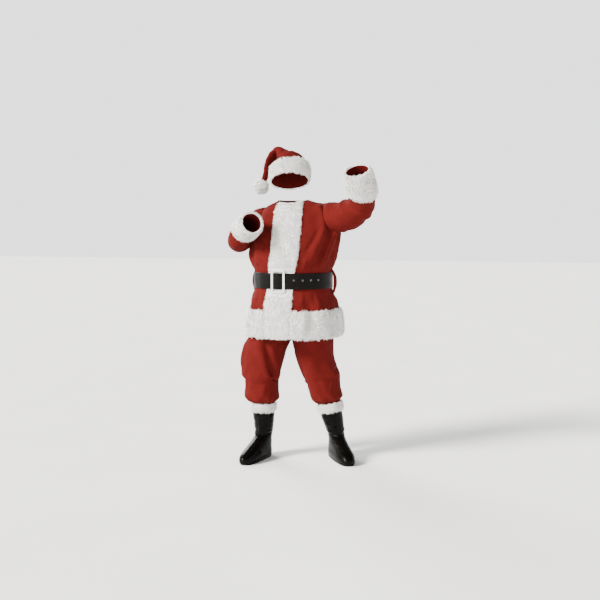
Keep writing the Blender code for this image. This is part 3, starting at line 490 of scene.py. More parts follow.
# jacket
jacket = {
    # level, height, half widths right and left, reach front and back, rise of the sides, dip in front
    "sections": Rows("level height right left front back riseRight riseLeft dip", [
        (0.737, 0.737, 0.266, 0.274, 0.2460, 0.2200, 0, 0, 0),
        (0.810, 0.810, 0.263, 0.271, 0.2415, 0.2155, 0, 0, 0),
        (0.887, 0.887, 0.2545, 0.2615, 0.2310, 0.2050, 0, 0, 0),
        (0.984, 0.984, 0.2335, 0.2350, 0.2010, 0.1800, 0, 0, 0),
        (1.008, 1.008, 0.2275, 0.2275, 0.1935, 0.1735, 0, 0, 0),
        (1.100, 1.100, 0.2275, 0.2275, 0.1935, 0.1735, 0, 0, 0),
        (1.124, 1.124, 0.2345, 0.2335, 0.2000, 0.1785, 0, 0, 0),
        (1.195, 1.195, 0.258, 0.256, 0.2040, 0.1820, 0, 0, 0),
        (1.275, 1.275, 0.250, 0.276, 0.1860, 0.1700, 0, 0, 0),
        (1.335, 1.335, 0.238, 0.284, 0.1680, 0.1600, 0, 0.006, 0),
        (1.395, 1.393, 0.222, 0.262, 0.1500, 0.1480, 0, 0.028, 0),
        (1.445, 1.440, 0.196, 0.222, 0.1300, 0.1360, 0.004, 0.040, 0),
        (1.495, 1.475, 0.158, 0.168, 0.1100, 0.1200, 0.004, 0.022, 0.006),
        (1.540, 1.499, 0.120, 0.123, 0.0950, 0.1040, 0, 0.006, 0.020),
        (1.575, 1.515, 0.086, 0.086, 0.0820, 0.0880, 0, 0, 0.040),
    ]),
    "hemLevel": 0.737,
    "neckLevel": 1.575,
    # level, and how far the placket's middle lies sideways
    "placketLine": Rows("level x", [
        (0.725, -0.019), (0.925, -0.021), (1.054, -0.017), (1.235, 0.012), (1.575, 0.006),
    ]),
    "placketWidth": 0.164,
    # columns round the body, from the centre front to the left
    "placketColumn": 3,
    "leftSeam": 12,
    "rightSeam": 32,
    "round": 44,
    # angle at the low end and at the high end, low, high, width, depth
    "folds": [
        (0.62, 0.98, 1.155, 1.465, 0.034, 0.013), (0.84, 1.10, 1.155, 1.445, 0.028, -0.010),
        (1.06, 1.26, 1.155, 1.405, 0.030, 0.012), (1.30, 1.40, 1.155, 1.325, 0.028, -0.009),
        (-0.62, -0.70, 1.155, 1.285, 0.030, 0.009), (-0.88, -0.90, 1.155, 1.265, 0.028, -0.008),
        (-1.14, -1.12, 1.155, 1.265, 0.030, 0.009), (0.95, 0.85, 0.745, 0.955, 0.040, 0.012),
        (0.62, 0.60, 0.745, 0.955, 0.036, -0.008), (1.82, 1.78, 0.745, 0.955, 0.045, 0.010),
        (-0.95, -0.90, 0.745, 0.955, 0.042, 0.009), (-1.82, -1.78, 0.745, 0.955, 0.042, 0.008),
        (2.30, 2.20, 0.765, 0.955, 0.050, 0.011), (-2.35, -2.20, 0.765, 0.955, 0.050, 0.011),
        (2.90, 2.80, 1.155, 1.325, 0.045, 0.010), (-2.60, -2.40, 1.155, 1.345, 0.045, 0.010),
        (2.30, 2.00, 1.155, 1.385, 0.040, 0.011),
    ],
    # short pleats where the belt gathers the cloth, above it and below it: angles at the lower and
    # the upper end, height of the end away from the belt, width, depth
    "pleatsAbove": [
        (0.50, 0.52, 1.190, 0.011, 0.0035), (0.72, 0.75, 1.175, 0.010, -0.0035),
        (0.93, 1.00, 1.205, 0.012, 0.0040), (1.17, 1.22, 1.180, 0.010, -0.0030),
        (1.45, 1.50, 1.215, 0.013, 0.0040), (1.75, 1.72, 1.190, 0.011, -0.0035),
        (1.98, 1.90, 1.225, 0.013, 0.0045), (2.20, 2.22, 1.180, 0.011, -0.0035),
        (2.52, 2.60, 1.205, 0.014, 0.0045), (2.76, 2.80, 1.175, 0.011, -0.0030),
        (3.05, 3.12, 1.215, 0.013, 0.0042), (-2.85, -2.80, 1.185, 0.011, -0.0035),
        (-2.42, -2.45, 1.210, 0.014, 0.0045), (-2.12, -2.05, 1.180, 0.011, -0.0032),
        (-1.86, -1.90, 1.200, 0.012, 0.0042), (-1.50, -1.46, 1.190, 0.011, -0.0035),
        (-1.28, -1.25, 1.175, 0.011, 0.0035), (-1.01, -1.03, 1.200, 0.010, -0.0030),
        (-0.75, -0.80, 1.185, 0.011, 0.0035),
    ],
    "pleatsBelow": [
        (0.44, 0.47, 0.930, 0.012, 0.0035), (0.78, 0.74, 0.915, 0.012, -0.0035),
        (1.05, 1.02, 0.935, 0.010, 0.0035), (1.30, 1.28, 0.905, 0.013, -0.0040),
        (1.52, 1.50, 0.925, 0.011, 0.0040), (2.05, 2.00, 0.930, 0.012, -0.0040),
        (2.55, 2.58, 0.905, 0.014, 0.0045), (2.95, 2.90, 0.925, 0.012, -0.0040),
        (-2.75, -2.80, 0.915, 0.013, 0.0045), (-2.10, -2.12, 0.930, 0.012, -0.0038),
        (-1.58, -1.60, 0.910, 0.012, 0.0042), (-1.30, -1.28, 0.930, 0.011, -0.0035),
        (-1.10, -1.12, 0.920, 0.011, 0.0035), (-0.70, -0.68, 0.935, 0.011, -0.0030),
    ],
    "pleatsFrom": 1.118,
    "pleatsTo": 0.988,
    # small creases between the main folds
    "creases": [
        (1.38, 1.18, 1.235, 1.345, 0.016, 0.0055), (0.52, 0.72, 1.225, 1.345, 0.018, -0.0045),
        (1.62, 1.50, 1.205, 1.300, 0.016, 0.0050), (-0.46, -0.55, 1.195, 1.270, 0.016, 0.0040),
        (-1.00, -1.08, 1.185, 1.255, 0.016, -0.0045), (0.40, 0.55, 0.780, 0.900, 0.024, 0.0055),
        (1.28, 1.24, 0.750, 0.900, 0.026, -0.0060), (1.56, 1.54, 0.760, 0.880, 0.022, 0.0050),
        (-0.62, -0.66, 0.760, 0.900, 0.024, -0.0055), (-1.36, -1.32, 0.755, 0.890, 0.026, -0.0050),
        (2.66, 2.62, 0.750, 0.900, 0.030, -0.0060), (-2.74, -2.70, 0.755, 0.910, 0.030, -0.0060),
        (3.10, 3.12, 0.750, 0.890, 0.030, 0.0055), (-1.62, -1.60, 0.765, 0.900, 0.022, 0.0045),
        (1.90, 2.35, 1.210, 1.420, 0.024, -0.0078), (2.62, 2.46, 1.150, 1.370, 0.022, -0.0072),
        (3.00, 2.74, 1.130, 1.330, 0.020, 0.0066), (-2.98, -2.72, 1.150, 1.390, 0.023, -0.0078),
        (-2.30, -2.52, 1.140, 1.340, 0.020, 0.0068), (-2.02, -2.30, 1.210, 1.400, 0.024, -0.0074),
        (2.18, 2.06, 1.130, 1.290, 0.017, 0.0062), (-2.66, -2.60, 1.125, 1.260, 0.016, -0.0060),
        (2.20, 2.12, 0.755, 0.960, 0.024, -0.0068), (2.80, 2.88, 0.760, 0.950, 0.022, 0.0062),
        (-2.48, -2.58, 0.760, 0.960, 0.024, -0.0066), (-2.02, -1.96, 0.755, 0.940, 0.020, 0.0045),
    ],
    "gatherScale": 1.6,
    "gatherEnds": 0.02,
    "unevenness": 0.0030,
    "unevenSize": 0.060,
    "beltZone": (0.996, 1.112),  # smooth where the belt lies
    "beltBlend": 0.03,
    # a sewn side seam draws the cloth in this much, over this width
    "seamDip": 0.0016,
    "seamWidth": 0.009,
    # the placket narrows to this share over this height below the neck
    "neckShare": 0.84,
    "neckTaper": 0.12,
    "columns": 176,
    "levels": 92,
}
jacket["gathers"] = [
    *((start, end, jacket["pleatsFrom"], far, *size) for start, end, far, *size in jacket["pleatsAbove"]),
    *((start, end, far, jacket["pleatsTo"], *size) for start, end, far, *size in jacket["pleatsBelow"]),
    *jacket["creases"],
]


def torsoForm(angle, level):
    row = jacket["sections"].at(level)
    side, front = math.sin(angle), math.cos(angle)
    width = row.left if side >= 0 else row.right
    depth = row.front if front >= 0 else row.back
    rise = row.riseLeft if side >= 0 else row.riseRight
    return Vector((
        width * signedPower(side, suit["squareness"]),
        -depth * signedPower(front, suit["squareness"]),
        row.height + rise * side * side - row.dip * max(front, 0.0) ** 2,
    ))


def torsoNormal(angle, level):
    turn, rise = suit["turnStep"], suit["levelStep"]
    level = min(max(level, jacket["hemLevel"] + 1.5 * rise), jacket["neckLevel"] - 1.5 * rise)
    across = torsoForm(angle + turn, level) - torsoForm(angle - turn, level)
    along = torsoForm(angle, level + rise) - torsoForm(angle, level - rise)
    return across.cross(along).normalized()


def torsoPoint(angle, level, out=0.0):
    # the jacket's outer face, folds and all, moved out along its normal
    point = torsoForm(angle, level)
    radius = math.hypot(point.x, point.y)
    low, high = jacket["beltZone"]
    free = ease(max(low - level, level - high) / jacket["beltBlend"])
    out += foldHeight(jacket["folds"], angle, level, radius)
    gathered = foldHeight(jacket["gathers"], angle, level, radius, ends=jacket["gatherEnds"])
    out += gathered * jacket["gatherScale"] * free
    out += soften(point, jacket["unevenSize"], jacket["unevenness"]) * free
    return point + torsoNormal(angle, level) * out


def frontAngle(x, level):
    row = jacket["sections"].at(level)
    width = row.left if x >= 0 else row.right
    # it turns x back into an angle, and stops short of the side
    share = min(abs(x) / width, 0.95) ** (1 / suit["squareness"])
    return math.copysign(math.asin(share), x)


def placketEdges(level):
    middle = jacket["placketLine"].at(level).x
    below = clamp((jacket["neckLevel"] - level) / jacket["neckTaper"])
    half = jacket["placketWidth"] / 2 * (jacket["neckShare"] + (1 - jacket["neckShare"]) * below)
    return frontAngle(middle - half, level), frontAngle(middle + half, level)


def jacketAngle(column, level):
    # negative columns lie to the right of the centre front
    placket, left, right, full = (jacket[key] for key in ("placketColumn", "leftSeam", "rightSeam", "round"))
    if column > right:
        return jacketAngle(column - full, level) + fullTurn
    first, last = placketEdges(level)
    middle = frontAngle(jacket["placketLine"].at(level).x, level)
    marks = [
        (right - full, -math.pi / 2), (-placket, first), (0, middle), (placket, last),
        (left, math.pi / 2), (right, 3 * math.pi / 2),
    ]
    for (low, start), (high, end) in zip(marks, marks[1:]):
        if column <= high:
            return start + (end - start) * (column - low) / (high - low)


def aroundJacket(u, level):
    # once round, from side seam to side seam
    return jacketAngle(jacket["round"] * u - jacket["leftSeam"], level)


sleeves = {
    # middle of each section and its radius, from inside the shoulder to the wrist
    "right": Tube("x y z radius", [
        (-0.085, 0.000, 1.377, 0.084),
        (-0.180, -0.004, 1.391, 0.083),
        (-0.262, -0.022, 1.345, 0.077),
        (-0.298, -0.064, 1.295, 0.070),
        (-0.292, -0.124, 1.281, 0.067),
        (-0.242, -0.184, 1.334, 0.059),
        (-0.193, -0.240, 1.360, 0.055),
        (-0.144, -0.297, 1.384, 0.054),
    ], (0, -1, 0)),
    "left": Tube("x y z radius", [
        (0.100, 0.000, 1.401, 0.088),
        (0.190, -0.004, 1.405, 0.090),
        (0.269, -0.036, 1.413, 0.089),
        (0.350, -0.066, 1.427, 0.085),
        (0.418, -0.100, 1.465, 0.078),
        (0.451, -0.153, 1.540, 0.070),
        (0.446, -0.195, 1.603, 0.065),
        (0.440, -0.237, 1.666, 0.062),
    ], (0, -1, 0)),
    # share of the length, angle where it is strongest, width, depth, slant
    "creases": {
        "right": [
            (0.30, 1.0, 0.030, -0.006, 0), (0.38, 1.4, 0.030, 0.006, 0), (0.58, 4.2, 0.028, -0.006, 0),
            (0.34, 3.6, 0.014, -0.003, 0.020), (0.46, 0.6, 0.014, 0.0035, -0.018),
            (0.52, 5.2, 0.012, -0.0035, 0.016), (0.64, 1.8, 0.014, 0.003, 0.014),
            (0.24, 5.6, 0.016, 0.0035, -0.022), (0.70, 3.9, 0.010, -0.0025, 0.010),
            (0.42, 3.0, 0.018, 0.0038, 0.034), (0.50, 2.4, 0.016, -0.0034, -0.028),
            (0.28, 2.3, 0.020, -0.0036, 0.038), (0.60, 3.1, 0.014, 0.0030, -0.022),
        ],
        "left": [
            (0.34, 4.4, 0.034, -0.007, 0), (0.44, 4.7, 0.030, 0.007, 0), (0.54, 1.2, 0.026, -0.008, 0),
            (0.30, 2.6, 0.018, 0.003, 0.030), (0.39, 5.6, 0.016, -0.0035, -0.024),
            (0.49, 0.5, 0.013, 0.004, 0.018), (0.59, 1.6, 0.012, 0.004, -0.014),
            (0.64, 0.9, 0.010, -0.003, 0.012), (0.50, 3.4, 0.016, 0.0035, 0.026),
            (0.24, 4.9, 0.018, 0.0035, 0.030), (0.58, 4.3, 0.014, -0.003, 0.020),
            (0.36, 1.6, 0.020, 0.0040, -0.034), (0.44, 2.6, 0.018, -0.0038, 0.030),
            (0.28, 3.6, 0.020, -0.0036, -0.034), (0.66, 3.0, 0.013, 0.0030, 0.018),
        ],
    },
    "creaseScale": 1.15,  # of the small slanted creases
    "unevenness": 0.0018,
    "unevenSize": 0.050,
    "holeReach": 0.24,  # the armhole is cut by this much of the tube
    "cuffLength": 0.157,
    "short": 0.008,  # the plush ends this far inside the cuff
    "columns": 72,
    "rings": 76,
}


def sleevePoint(side, angle, run, out=0.0):
    tube = sleeves[side]
    middle, aside, up = tube.frame(run)
    radius = tube.rows.at(run).radius
    radius += creaseHeight(sleeves["creases"][side], angle, run, tube.length, sleeves["creaseScale"])
    point = middle + (aside * math.cos(angle) + up * math.sin(angle)) * radius
    out += soften(point, sleeves["unevenSize"], sleeves["unevenness"])
    return point + (point - middle).normalized() * out


def cutterShape(name, columns, rows, place):
    body = shapedGrid(columns, rows, place)
    bmesh.ops.holes_fill(body, edges=[e for e in body.edges if e.is_boundary], sides=0)
    bmesh.ops.recalc_face_normals(body, faces=body.faces)
    return finishPiece(name, body, None)


def armhole(side):
    inside = -suit["cloth"] - suit["layGap"]
    return cutterShape("armhole" + side.title(), 64, 24, lambda u, v: sleevePoint(
        side, u * fullTurn, v * sleeves["holeReach"], inside))


def upperBody():
    # what the sleeves are cut by, from above the belt to the neck
    low, tall = 1.06, jacket["neckLevel"] - 1.06

    def place(u, v):
        level = low + tall * v
        return torsoPoint(aroundJacket(u, level), level, suit["armholeGap"])

    return cutterShape("upperBody", 132, 60, place)


armholes = [armhole("right"), armhole("left")]
bodyShape = upperBody()


def jacketPanel(name, first, last, node):
    columns = jacket["columns"] * (last - first) // jacket["round"]

    def place(u, v):
        level = jacket["hemLevel"] + (jacket["neckLevel"] - jacket["hemLevel"]) * v
        angle = jacketAngle(first + (last - first) * u, level)
        form = torsoForm(angle, level)
        radius = math.hypot(form.x, form.y)
        if u == 0:
            angle += suit["seamGap"] / 2 / radius
        if u == 1:
            angle -= suit["seamGap"] / 2 / radius
        seam = min(abs(wrapped(angle - math.pi / 2)), abs(wrapped(angle + math.pi / 2))) * radius
        return torsoPoint(angle, level, -jacket["seamDip"] * bump(seam, jacket["seamWidth"]))

    panel = finishPiece(name, shapedGrid(columns, jacket["levels"], place), redPlush, [node])
    return thicken(panel, suit["cloth"], armholes)


leftSeam, rightSeam = jacket["leftSeam"], jacket["rightSeam"]
jacketFrontLeft = jacketPanel("jacketFrontLeft", 0, leftSeam, "jacket_front_left")
jacketFrontRight = jacketPanel("jacketFrontRight", rightSeam - jacket["round"], 0, "jacket_front_right")
jacketBack = jacketPanel("jacketBack", leftSeam, rightSeam, "jacket_back")
print("jacket body made")


def makeSleeve(side, name):
    tube = sleeves[side]
    end = tube.length - sleeves["short"]
    shape = shapedGrid(
        sleeves["columns"], sleeves["rings"], lambda u, v: sleevePoint(side, u * fullTurn, v * end))
    sleeve = finishPiece(name, shape, redPlush, ["sleeve_" + side])
    return thicken(sleeve, suit["cloth"], [bodyShape])


sleeveRight = makeSleeve("right", "sleeveRight")
sleeveLeft = makeSleeve("left", "sleeveLeft")
for cutter in (*armholes, bodyShape):
    bpy.data.objects.remove(cutter)
print("sleeves made")

# trousers
legTop = [
    (0.885, 0.000, 0.000, 0.2160, 0.2160, 0.1860, 0.1760, 0),
    (0.955, 0.000, 0.000, 0.2190, 0.2190, 0.1860, 0.1700, 0),
    (1.0071, 0.000, 0.000, 0.2236, 0.2236, 0.1896, 0.1696, 0),
]
legColumns = "height x y inner outer front back tilt"
trousers = {
    # height, middle of the section, reach inwards, outwards, front and back, tilt
    "right": Rows(legColumns, [
        (0.297, -0.165, -0.0693, 0.0600, 0.0600, 0.0600, 0.0600, 0),
        (0.331, -0.164, -0.0740, 0.0632, 0.0632, 0.0632, 0.0632, 0),
        (0.347, -0.168, -0.075, 0.0900, 0.0920, 0.0920, 0.0900, 0),
        (0.370, -0.172, -0.076, 0.0990, 0.1010, 0.1000, 0.1000, 0),
        (0.425, -0.170, -0.076, 0.0960, 0.0980, 0.0980, 0.1000, 0),
        (0.465, -0.170, -0.076, 0.0980, 0.1020, 0.1020, 0.1080, 0),
        (0.493, -0.172, -0.077, 0.1080, 0.1180, 0.1060, 0.1120, 0),
        (0.525, -0.170, -0.076, 0.1060, 0.1160, 0.1060, 0.1080, 0),
        (0.605, -0.158, -0.070, 0.1120, 0.1180, 0.1120, 0.1120, 0),
        (0.670, -0.145, -0.060, 0.1180, 0.1160, 0.1200, 0.1240, 0),
        (0.705, -0.128, -0.040, 0.1260, 0.1160, 0.1320, 0.1340, 0),
        (0.750, -0.098, -0.020, 0.1550, 0.1240, 0.1540, 0.1540, 0),
        (0.815, -0.045, -0.006, 0.1800, 0.1720, 0.1740, 0.1700, 0),
    ] + legTop),
    "left": Rows(legColumns, [
        (0.305, 0.2120, 0.0400, 0.0600, 0.0600, 0.0600, 0.0600, 0.22),
        (0.333, 0.2080, 0.0350, 0.0632, 0.0632, 0.0632, 0.0632, 0.22),
        (0.351, 0.202, 0.034, 0.0830, 0.0840, 0.0880, 0.0880, 0.20),
        (0.377, 0.192, 0.031, 0.0900, 0.0920, 0.0960, 0.0980, 0.16),
        (0.425, 0.179, 0.027, 0.0920, 0.0980, 0.1000, 0.1000, 0.10),
        (0.465, 0.170, 0.024, 0.0960, 0.1040, 0.1020, 0.1060, 0.08),
        (0.495, 0.160, 0.021, 0.1020, 0.1140, 0.1060, 0.1120, 0.05),
        (0.525, 0.150, 0.018, 0.1040, 0.1160, 0.1060, 0.1080, 0.03),
        (0.605, 0.128, 0.010, 0.1080, 0.1120, 0.1120, 0.1120, 0),
        (0.670, 0.116, 0.004, 0.1120, 0.1220, 0.1200, 0.1240, 0),
        (0.705, 0.112, 0.000, 0.1160, 0.1260, 0.1320, 0.1340, 0),
        (0.750, 0.098, -0.002, 0.1550, 0.1300, 0.1540, 0.1540, 0),
        (0.815, 0.045, -0.002, 0.1800, 0.1720, 0.1740, 0.1700, 0),
    ] + legTop),
    # by angle from the inseam round the front
    "folds": {
        "right": [
            (0.42, 1.56, 0.475, 0.740, 0.024, -0.013), (0.80, 1.92, 0.480, 0.740, 0.030, 0.008),
            (0.12, 1.12, 0.480, 0.715, 0.030, 0.006), (4.60, 4.90, 0.385, 0.685, 0.048, 0.009),
            (2.45, 2.55, 0.520, 0.690, 0.026, -0.0040), (2.30, 2.05, 0.400, 0.520, 0.022, -0.0045),
            (2.75, 2.60, 0.540, 0.690, 0.026, 0.0045), (1.25, 1.10, 0.370, 0.450, 0.020, 0.0040),
            (0.45, 0.30, 0.365, 0.440, 0.018, -0.0035), (3.70, 3.50, 0.400, 0.640, 0.030, -0.0055),
            (5.40, 5.70, 0.400, 0.600, 0.028, -0.0055),
        ],
        "left": [
            (2.40, 1.90, 0.385, 0.645, 0.048, -0.007), (1.20, 1.50, 0.385, 0.625, 0.048, 0.007),
            (4.40, 4.20, 0.385, 0.685, 0.048, 0.009), (0.60, 0.95, 0.400, 0.560, 0.022, -0.0045),
            (1.75, 1.60, 0.380, 0.480, 0.020, -0.0040), (2.70, 2.35, 0.500, 0.680, 0.024, 0.0045),
            (2.15, 2.55, 0.390, 0.470, 0.018, 0.0040), (0.90, 1.20, 0.590, 0.700, 0.024, 0.0040),
            (3.60, 3.75, 0.400, 0.640, 0.030, -0.0055), (5.30, 5.00, 0.420, 0.640, 0.028, -0.0055),
        ],
    },
    # the full leg puffs out under the jacket and inside the thigh: angle, low, high, width, depth
    "puffs": {
        "right": [(3.10, 0.490, 0.742, 0.125, 0.021), (0.13, 0.450, 0.705, 0.080, 0.013)],
        "left": [(0.11, 0.440, 0.650, 0.075, 0.006)],
    },
    # creases across the knee: height, angle, width up and down, reach round, depth, slant
    "kneeCreases": {
        "right": [
            (0.478, 2.9, 0.017, 0.060, -0.0050, 0.10), (0.512, 3.3, 0.022, 0.060, 0.0026, -0.08),
            (0.470, 0.2, 0.011, 0.045, -0.0060, 0.12), (0.495, 0.5, 0.012, 0.050, 0.0040, 0.10),
            (0.455, 1.4, 0.013, 0.060, -0.0035, 0.05), (0.520, 4.6, 0.018, 0.080, -0.0052, 0.12),
            (0.490, 4.9, 0.013, 0.060, 0.0045, 0.06), (0.455, 4.4, 0.013, 0.060, -0.0045, -0.05),
        ],
        "left": [
            (0.440, 0.1, 0.011, 0.040, -0.0060, 0.10), (0.462, 0.3, 0.012, 0.045, 0.0045, -0.06),
            (0.503, 2.9, 0.022, 0.060, 0.0026, 0.10), (0.535, 3.0, 0.017, 0.055, -0.0040, 0.08),
            (0.470, 1.9, 0.013, 0.060, -0.0030, -0.06), (0.515, 4.7, 0.018, 0.080, -0.0052, -0.10),
            (0.480, 4.4, 0.013, 0.060, 0.0045, 0.06), (0.445, 4.9, 0.013, 0.060, -0.0045, -0.05),
        ],
    },
    # gathers over the elastic hem: angle, width, depth
    "hemGathers": [
        (0.15, 0.012, 0.0045), (0.48, 0.010, -0.0040), (0.80, 0.013, 0.0050), (1.18, 0.010, -0.0045),
        (1.50, 0.012, 0.0042), (1.86, 0.011, -0.0040), (2.22, 0.014, 0.0050), (2.58, 0.010, -0.0042),
        (2.95, 0.012, 0.0045), (3.30, 0.011, -0.0045), (3.70, 0.014, 0.0050), (4.05, 0.010, -0.0040),
        (4.42, 0.013, 0.0048), (4.80, 0.011, -0.0045), (5.15, 0.012, 0.0045), (5.55, 0.010, -0.0042),
        (5.92, 0.012, 0.0045),
    ],
    "hemTop": {"right": 0.331, "left": 0.333},
    "gatherTall": 0.012,  # they are full from here above the hem, and fade over the next length
    "gatherFade": 0.055,
    "gatherSpread": 1.5,
    "creaseScale": 1.6,
    "creaseSpread": 1.5,
    "creaseTurn": 0.2,  # turns a crease's slant into a rise round the leg
    "unevenness": 0.0018,
    "unevenSize": 0.070,
    "crotch": 0.700,
    "seamDip": 0.0014,
    "seamWidth": 0.008,
    "puffRise": 0.12,  # a puff swells over this height and ends over the next
    "puffEnd": 0.03,
    "columns": 52,
    "rings": 96,
}


def legForm(side, angle, height):
    # the angle runs from the inseam round the front; the side seam is at half a turn
    row = trousers[side].at(height)
    inner, front = math.cos(angle), math.sin(angle)
    width = row.inner if inner >= 0 else row.outer
    depth = row.front if front >= 0 else row.back
    x = width * signedPower(inner, suit["squareness"]) * (1 if side == "right" else -1)
    return Vector((row.x + x, row.y - depth * signedPower(front, suit["squareness"]), height + row.tilt * x))


def legStart(side, height):
    # the inseam, or above the crotch the middle plane
    row = trousers[side].at(height)
    outwards = 1 if side == "left" else -1
    share = (outwards * row.x - suit["seamGap"] / 2) / row.inner
    if share < 1:
        return math.acos(signedPower(share, 1 / suit["squareness"]))
    return suit["seamGap"] / 2 / row.inner


def legPoint(side, angle, height, out=0.0):
    point = legForm(side, angle, height)
    row = trousers[side].at(height)
    centre = Vector((row.x, row.y, point.z))
    out += foldHeight(trousers["folds"][side], angle, height, row.outer)
    for facing, low, high, width, depth in trousers["puffs"][side]:
        reach = ease((height - low) / trousers["puffRise"]) * ease((high - height) / trousers["puffEnd"])
        out += depth * reach * bump(wrapped(angle - facing) * row.outer, width)
    for level, facing, tall, reach, depth, slant in trousers["kneeCreases"][side]:
        away = wrapped(angle - facing)
        crease = bump(height - level - slant * trousers["creaseTurn"] * away, tall)
        crease *= bump(away * row.outer, reach * trousers["creaseSpread"])
        out += depth * trousers["creaseScale"] * crease
    hem = trousers["hemTop"][side]
    fading = ease((height - hem - trousers["gatherTall"]) / trousers["gatherFade"])
    gathered = ease((height - hem) / trousers["gatherTall"]) * (1 - fading)
    if gathered:
        for facing, width, depth in trousers["hemGathers"]:
            away = wrapped(angle - facing) * row.outer
            out += depth * gathered * bump(away, width * trousers["gatherSpread"])
    if height > hem:
        # only below the crotch, where the legs are free
        free = ease((trousers["crotch"] - height) / 0.04) * ease((height - hem) / 0.02)
        out += soften(point, trousers["unevenSize"], trousers["unevenness"]) * free
    return point + (point - centre).normalized() * out


def trouserPanel(side, face, name):
    low, high = trousers[side].keys[0], trousers[side].keys[-1]
    flip = (side == "right") != (face == "back")

    def place(u, v):
        height = low + (high - low) * v
        row = trousers[side].at(height)
        start = legStart(side, height)
        end = math.pi - suit["seamGap"] / 2 / row.outer
        angle = start + (end - start) * (1 - u if flip else u)
        # sewn seams draw in slightly
        seam = (math.pi - angle) * row.outer
        inseam = (angle - start) * row.inner
        wide = trousers["seamWidth"]
        dip = max(bump(seam, wide), bump(inseam, wide) * ease((trousers["crotch"] - height) / 0.03))
        dip *= trousers["seamDip"]
        return legPoint(side, angle if face == "front" else -angle, height, -dip)

    shape = shapedGrid(trousers["columns"], trousers["rings"], place)
    panel = finishPiece(name, shape, redPlush, [f"trouser_{face}_{side}"])
    return thicken(panel, suit["cloth"])


trouserPanels = [
    trouserPanel(side, face, f"trouser{face.title()}{side.title()}")
    for side in ("right", "left")
    for face in ("front", "back")
]

waistband = {
    "low": 1.008,
    "high": 1.054,
    "thick": 0.0035,
    "ribs": 7,
    "ribDepth": 0.0006,
    "rowsPerRib": 4,
    "columns": 132,
}


def makeWaistband():
    # elastic sewn into a casing, in shallow ribs
    def place(u, v):
        level = waistband["low"] + (waistband["high"] - waistband["low"]) * v
        rib = waistband["ribDepth"] * (0.5 - 0.5 * math.cos(fullTurn * waistband["ribs"] * v))
        return torsoPoint(aroundJacket(u, level), level, -suit["cloth"] - 2 * suit["layGap"] - rib)

    shape = shapedGrid(waistband["columns"], waistband["ribs"] * waistband["rowsPerRib"], place)
    piece = finishPiece("waistband", shape, redPlush, ["trouser_waistband"])
    return thicken(piece, waistband["thick"] - waistband["ribDepth"])


waistbandPiece = makeWaistband()
print("trousers made")

# belt
belt = {
    "height": 1.054,
    "width": 0.090,
    "thick": 0.003,
    "ringLevel": 1.005,  # the jacket section that the belt follows
    "onJacket": 0.0012,
    "onFur": 0.0068,  # where it pinches the placket's pile
    "strapEnd": 0.072,  # the free end's reach past the buckle's bar
    "girthRadius": 0.235,  # mean, to turn runs along the belt into angles
    "buckleAngle": -0.086,
    # it leaves the placket this far from the buckle, in radians, and comes down over the next
    "placketReach": 0.42,
    "placketBlend": 0.35,
    # the overlap ends this far along, after a slope; at the bar it climbs over this length
    "overlapEnd": 0.30,
    "overlapSlope": 0.20,
    "barBlend": 0.028,
    # the free end is rounded off over this length, from this share of the width
    "tipLength": 0.022,
    "tipShare": 0.45,
    "tipPower": 2.6,
    # burnished edges, and a line pressed beside them
    "edgeDrop": 0.0009,
    "edgeWidth": 0.0025,
    "lineInside": 0.0055,
    "lineWidth": 0.0016,
    "lineDepth": 0.0007,
    "edgeCrowding": 1.5,  # rows crowd at the edges
    "columns": 340,
    "rows": 18,
    "eyelets": (0.262, 0.475, 0.700, 0.923),
    "eyeletRise": 0.006,
    "eyeletOut": 0.0012,
    "holeRadius": 0.003,
    "holeDepth": 0.016,
    # the rim's section: radius and height
    "eyeletSection": [
        (0.0033, -0.0010), (0.0033, 0.0004), (0.0038, 0.0010), (0.0046, 0.0011), (0.0054, 0.0007),
        (0.0058, 0.0), (0.0058, -0.0010),
    ],
    "eyeletSteps": 28,
}
buckle = {
    "width": 0.084,
    "tall": 0.134,
    "bar": 0.013,
    "thick": 0.004,
    "pin": 0.0015,  # radius of the middle bar
    "pinSink": 0.0020,
    "corner": 0.013,
    "windowCorner": 0.004,
    "cornerSteps": 10,
    "around": 28,
    "softness": 0.30,  # of the casting's edges: 1 gives a round section
    "crown": 0.10,
}
belt["strapLift"] = belt["thick"] + suit["layGap"]
buckle["out"] = belt["strapLift"] + belt["thick"] + suit["layGap"] + buckle["thick"] / 2


def beltPoint(angle, height, out):
    # over the jacket at the sides and over the placket in front
    point = torsoForm(angle, belt["ringLevel"])
    turn = suit["turnStep"]
    across = torsoForm(angle + turn, belt["ringLevel"]) - torsoForm(angle - turn, belt["ringLevel"])
    normal = across.cross(Vector((0, 0, 1))).normalized()
    onSide = ease((abs(wrapped(angle - belt["buckleAngle"])) - belt["placketReach"]) / belt["placketBlend"])
    lie = belt["onFur"] + (belt["onJacket"] - belt["onFur"]) * onSide
    return Vector((point.x, point.y, height)) + normal * (lie + out)


def strapLift(angle):
    # it climbs to the buckle's bar, then lies on its first layer
    away = (angle - belt["buckleAngle"]) * belt["girthRadius"]
    overBar = buckle["out"] - buckle["pinSink"] + buckle["pin"] + suit["layGap"] - belt["strapLift"]
    onLayer = clamp((belt["overlapEnd"] - away) / belt["overlapSlope"])
    return belt["strapLift"] * onLayer + overBar * bump(away, belt["barBlend"])


def standOn(angle, height, out):
    # a turned and placed frame whose Z stands out from the belt
    point = beltPoint(angle, height, out)
    normal = (point - beltPoint(angle, height, 0.0)).normalized()
    return Matrix.Translation(point) @ normal.to_track_quat("Z", "Y").to_matrix().to_4x4()


def atEyelet(angle, out):
    return standOn(angle, belt["height"] + belt["eyeletRise"], belt["thick"] + strapLift(angle) + out)


def addRod(shape, radius, length, matrix):
    bmesh.ops.create_cone(
        shape, cap_ends=True, segments=20, radius1=radius, radius2=radius, depth=length, matrix=matrix)


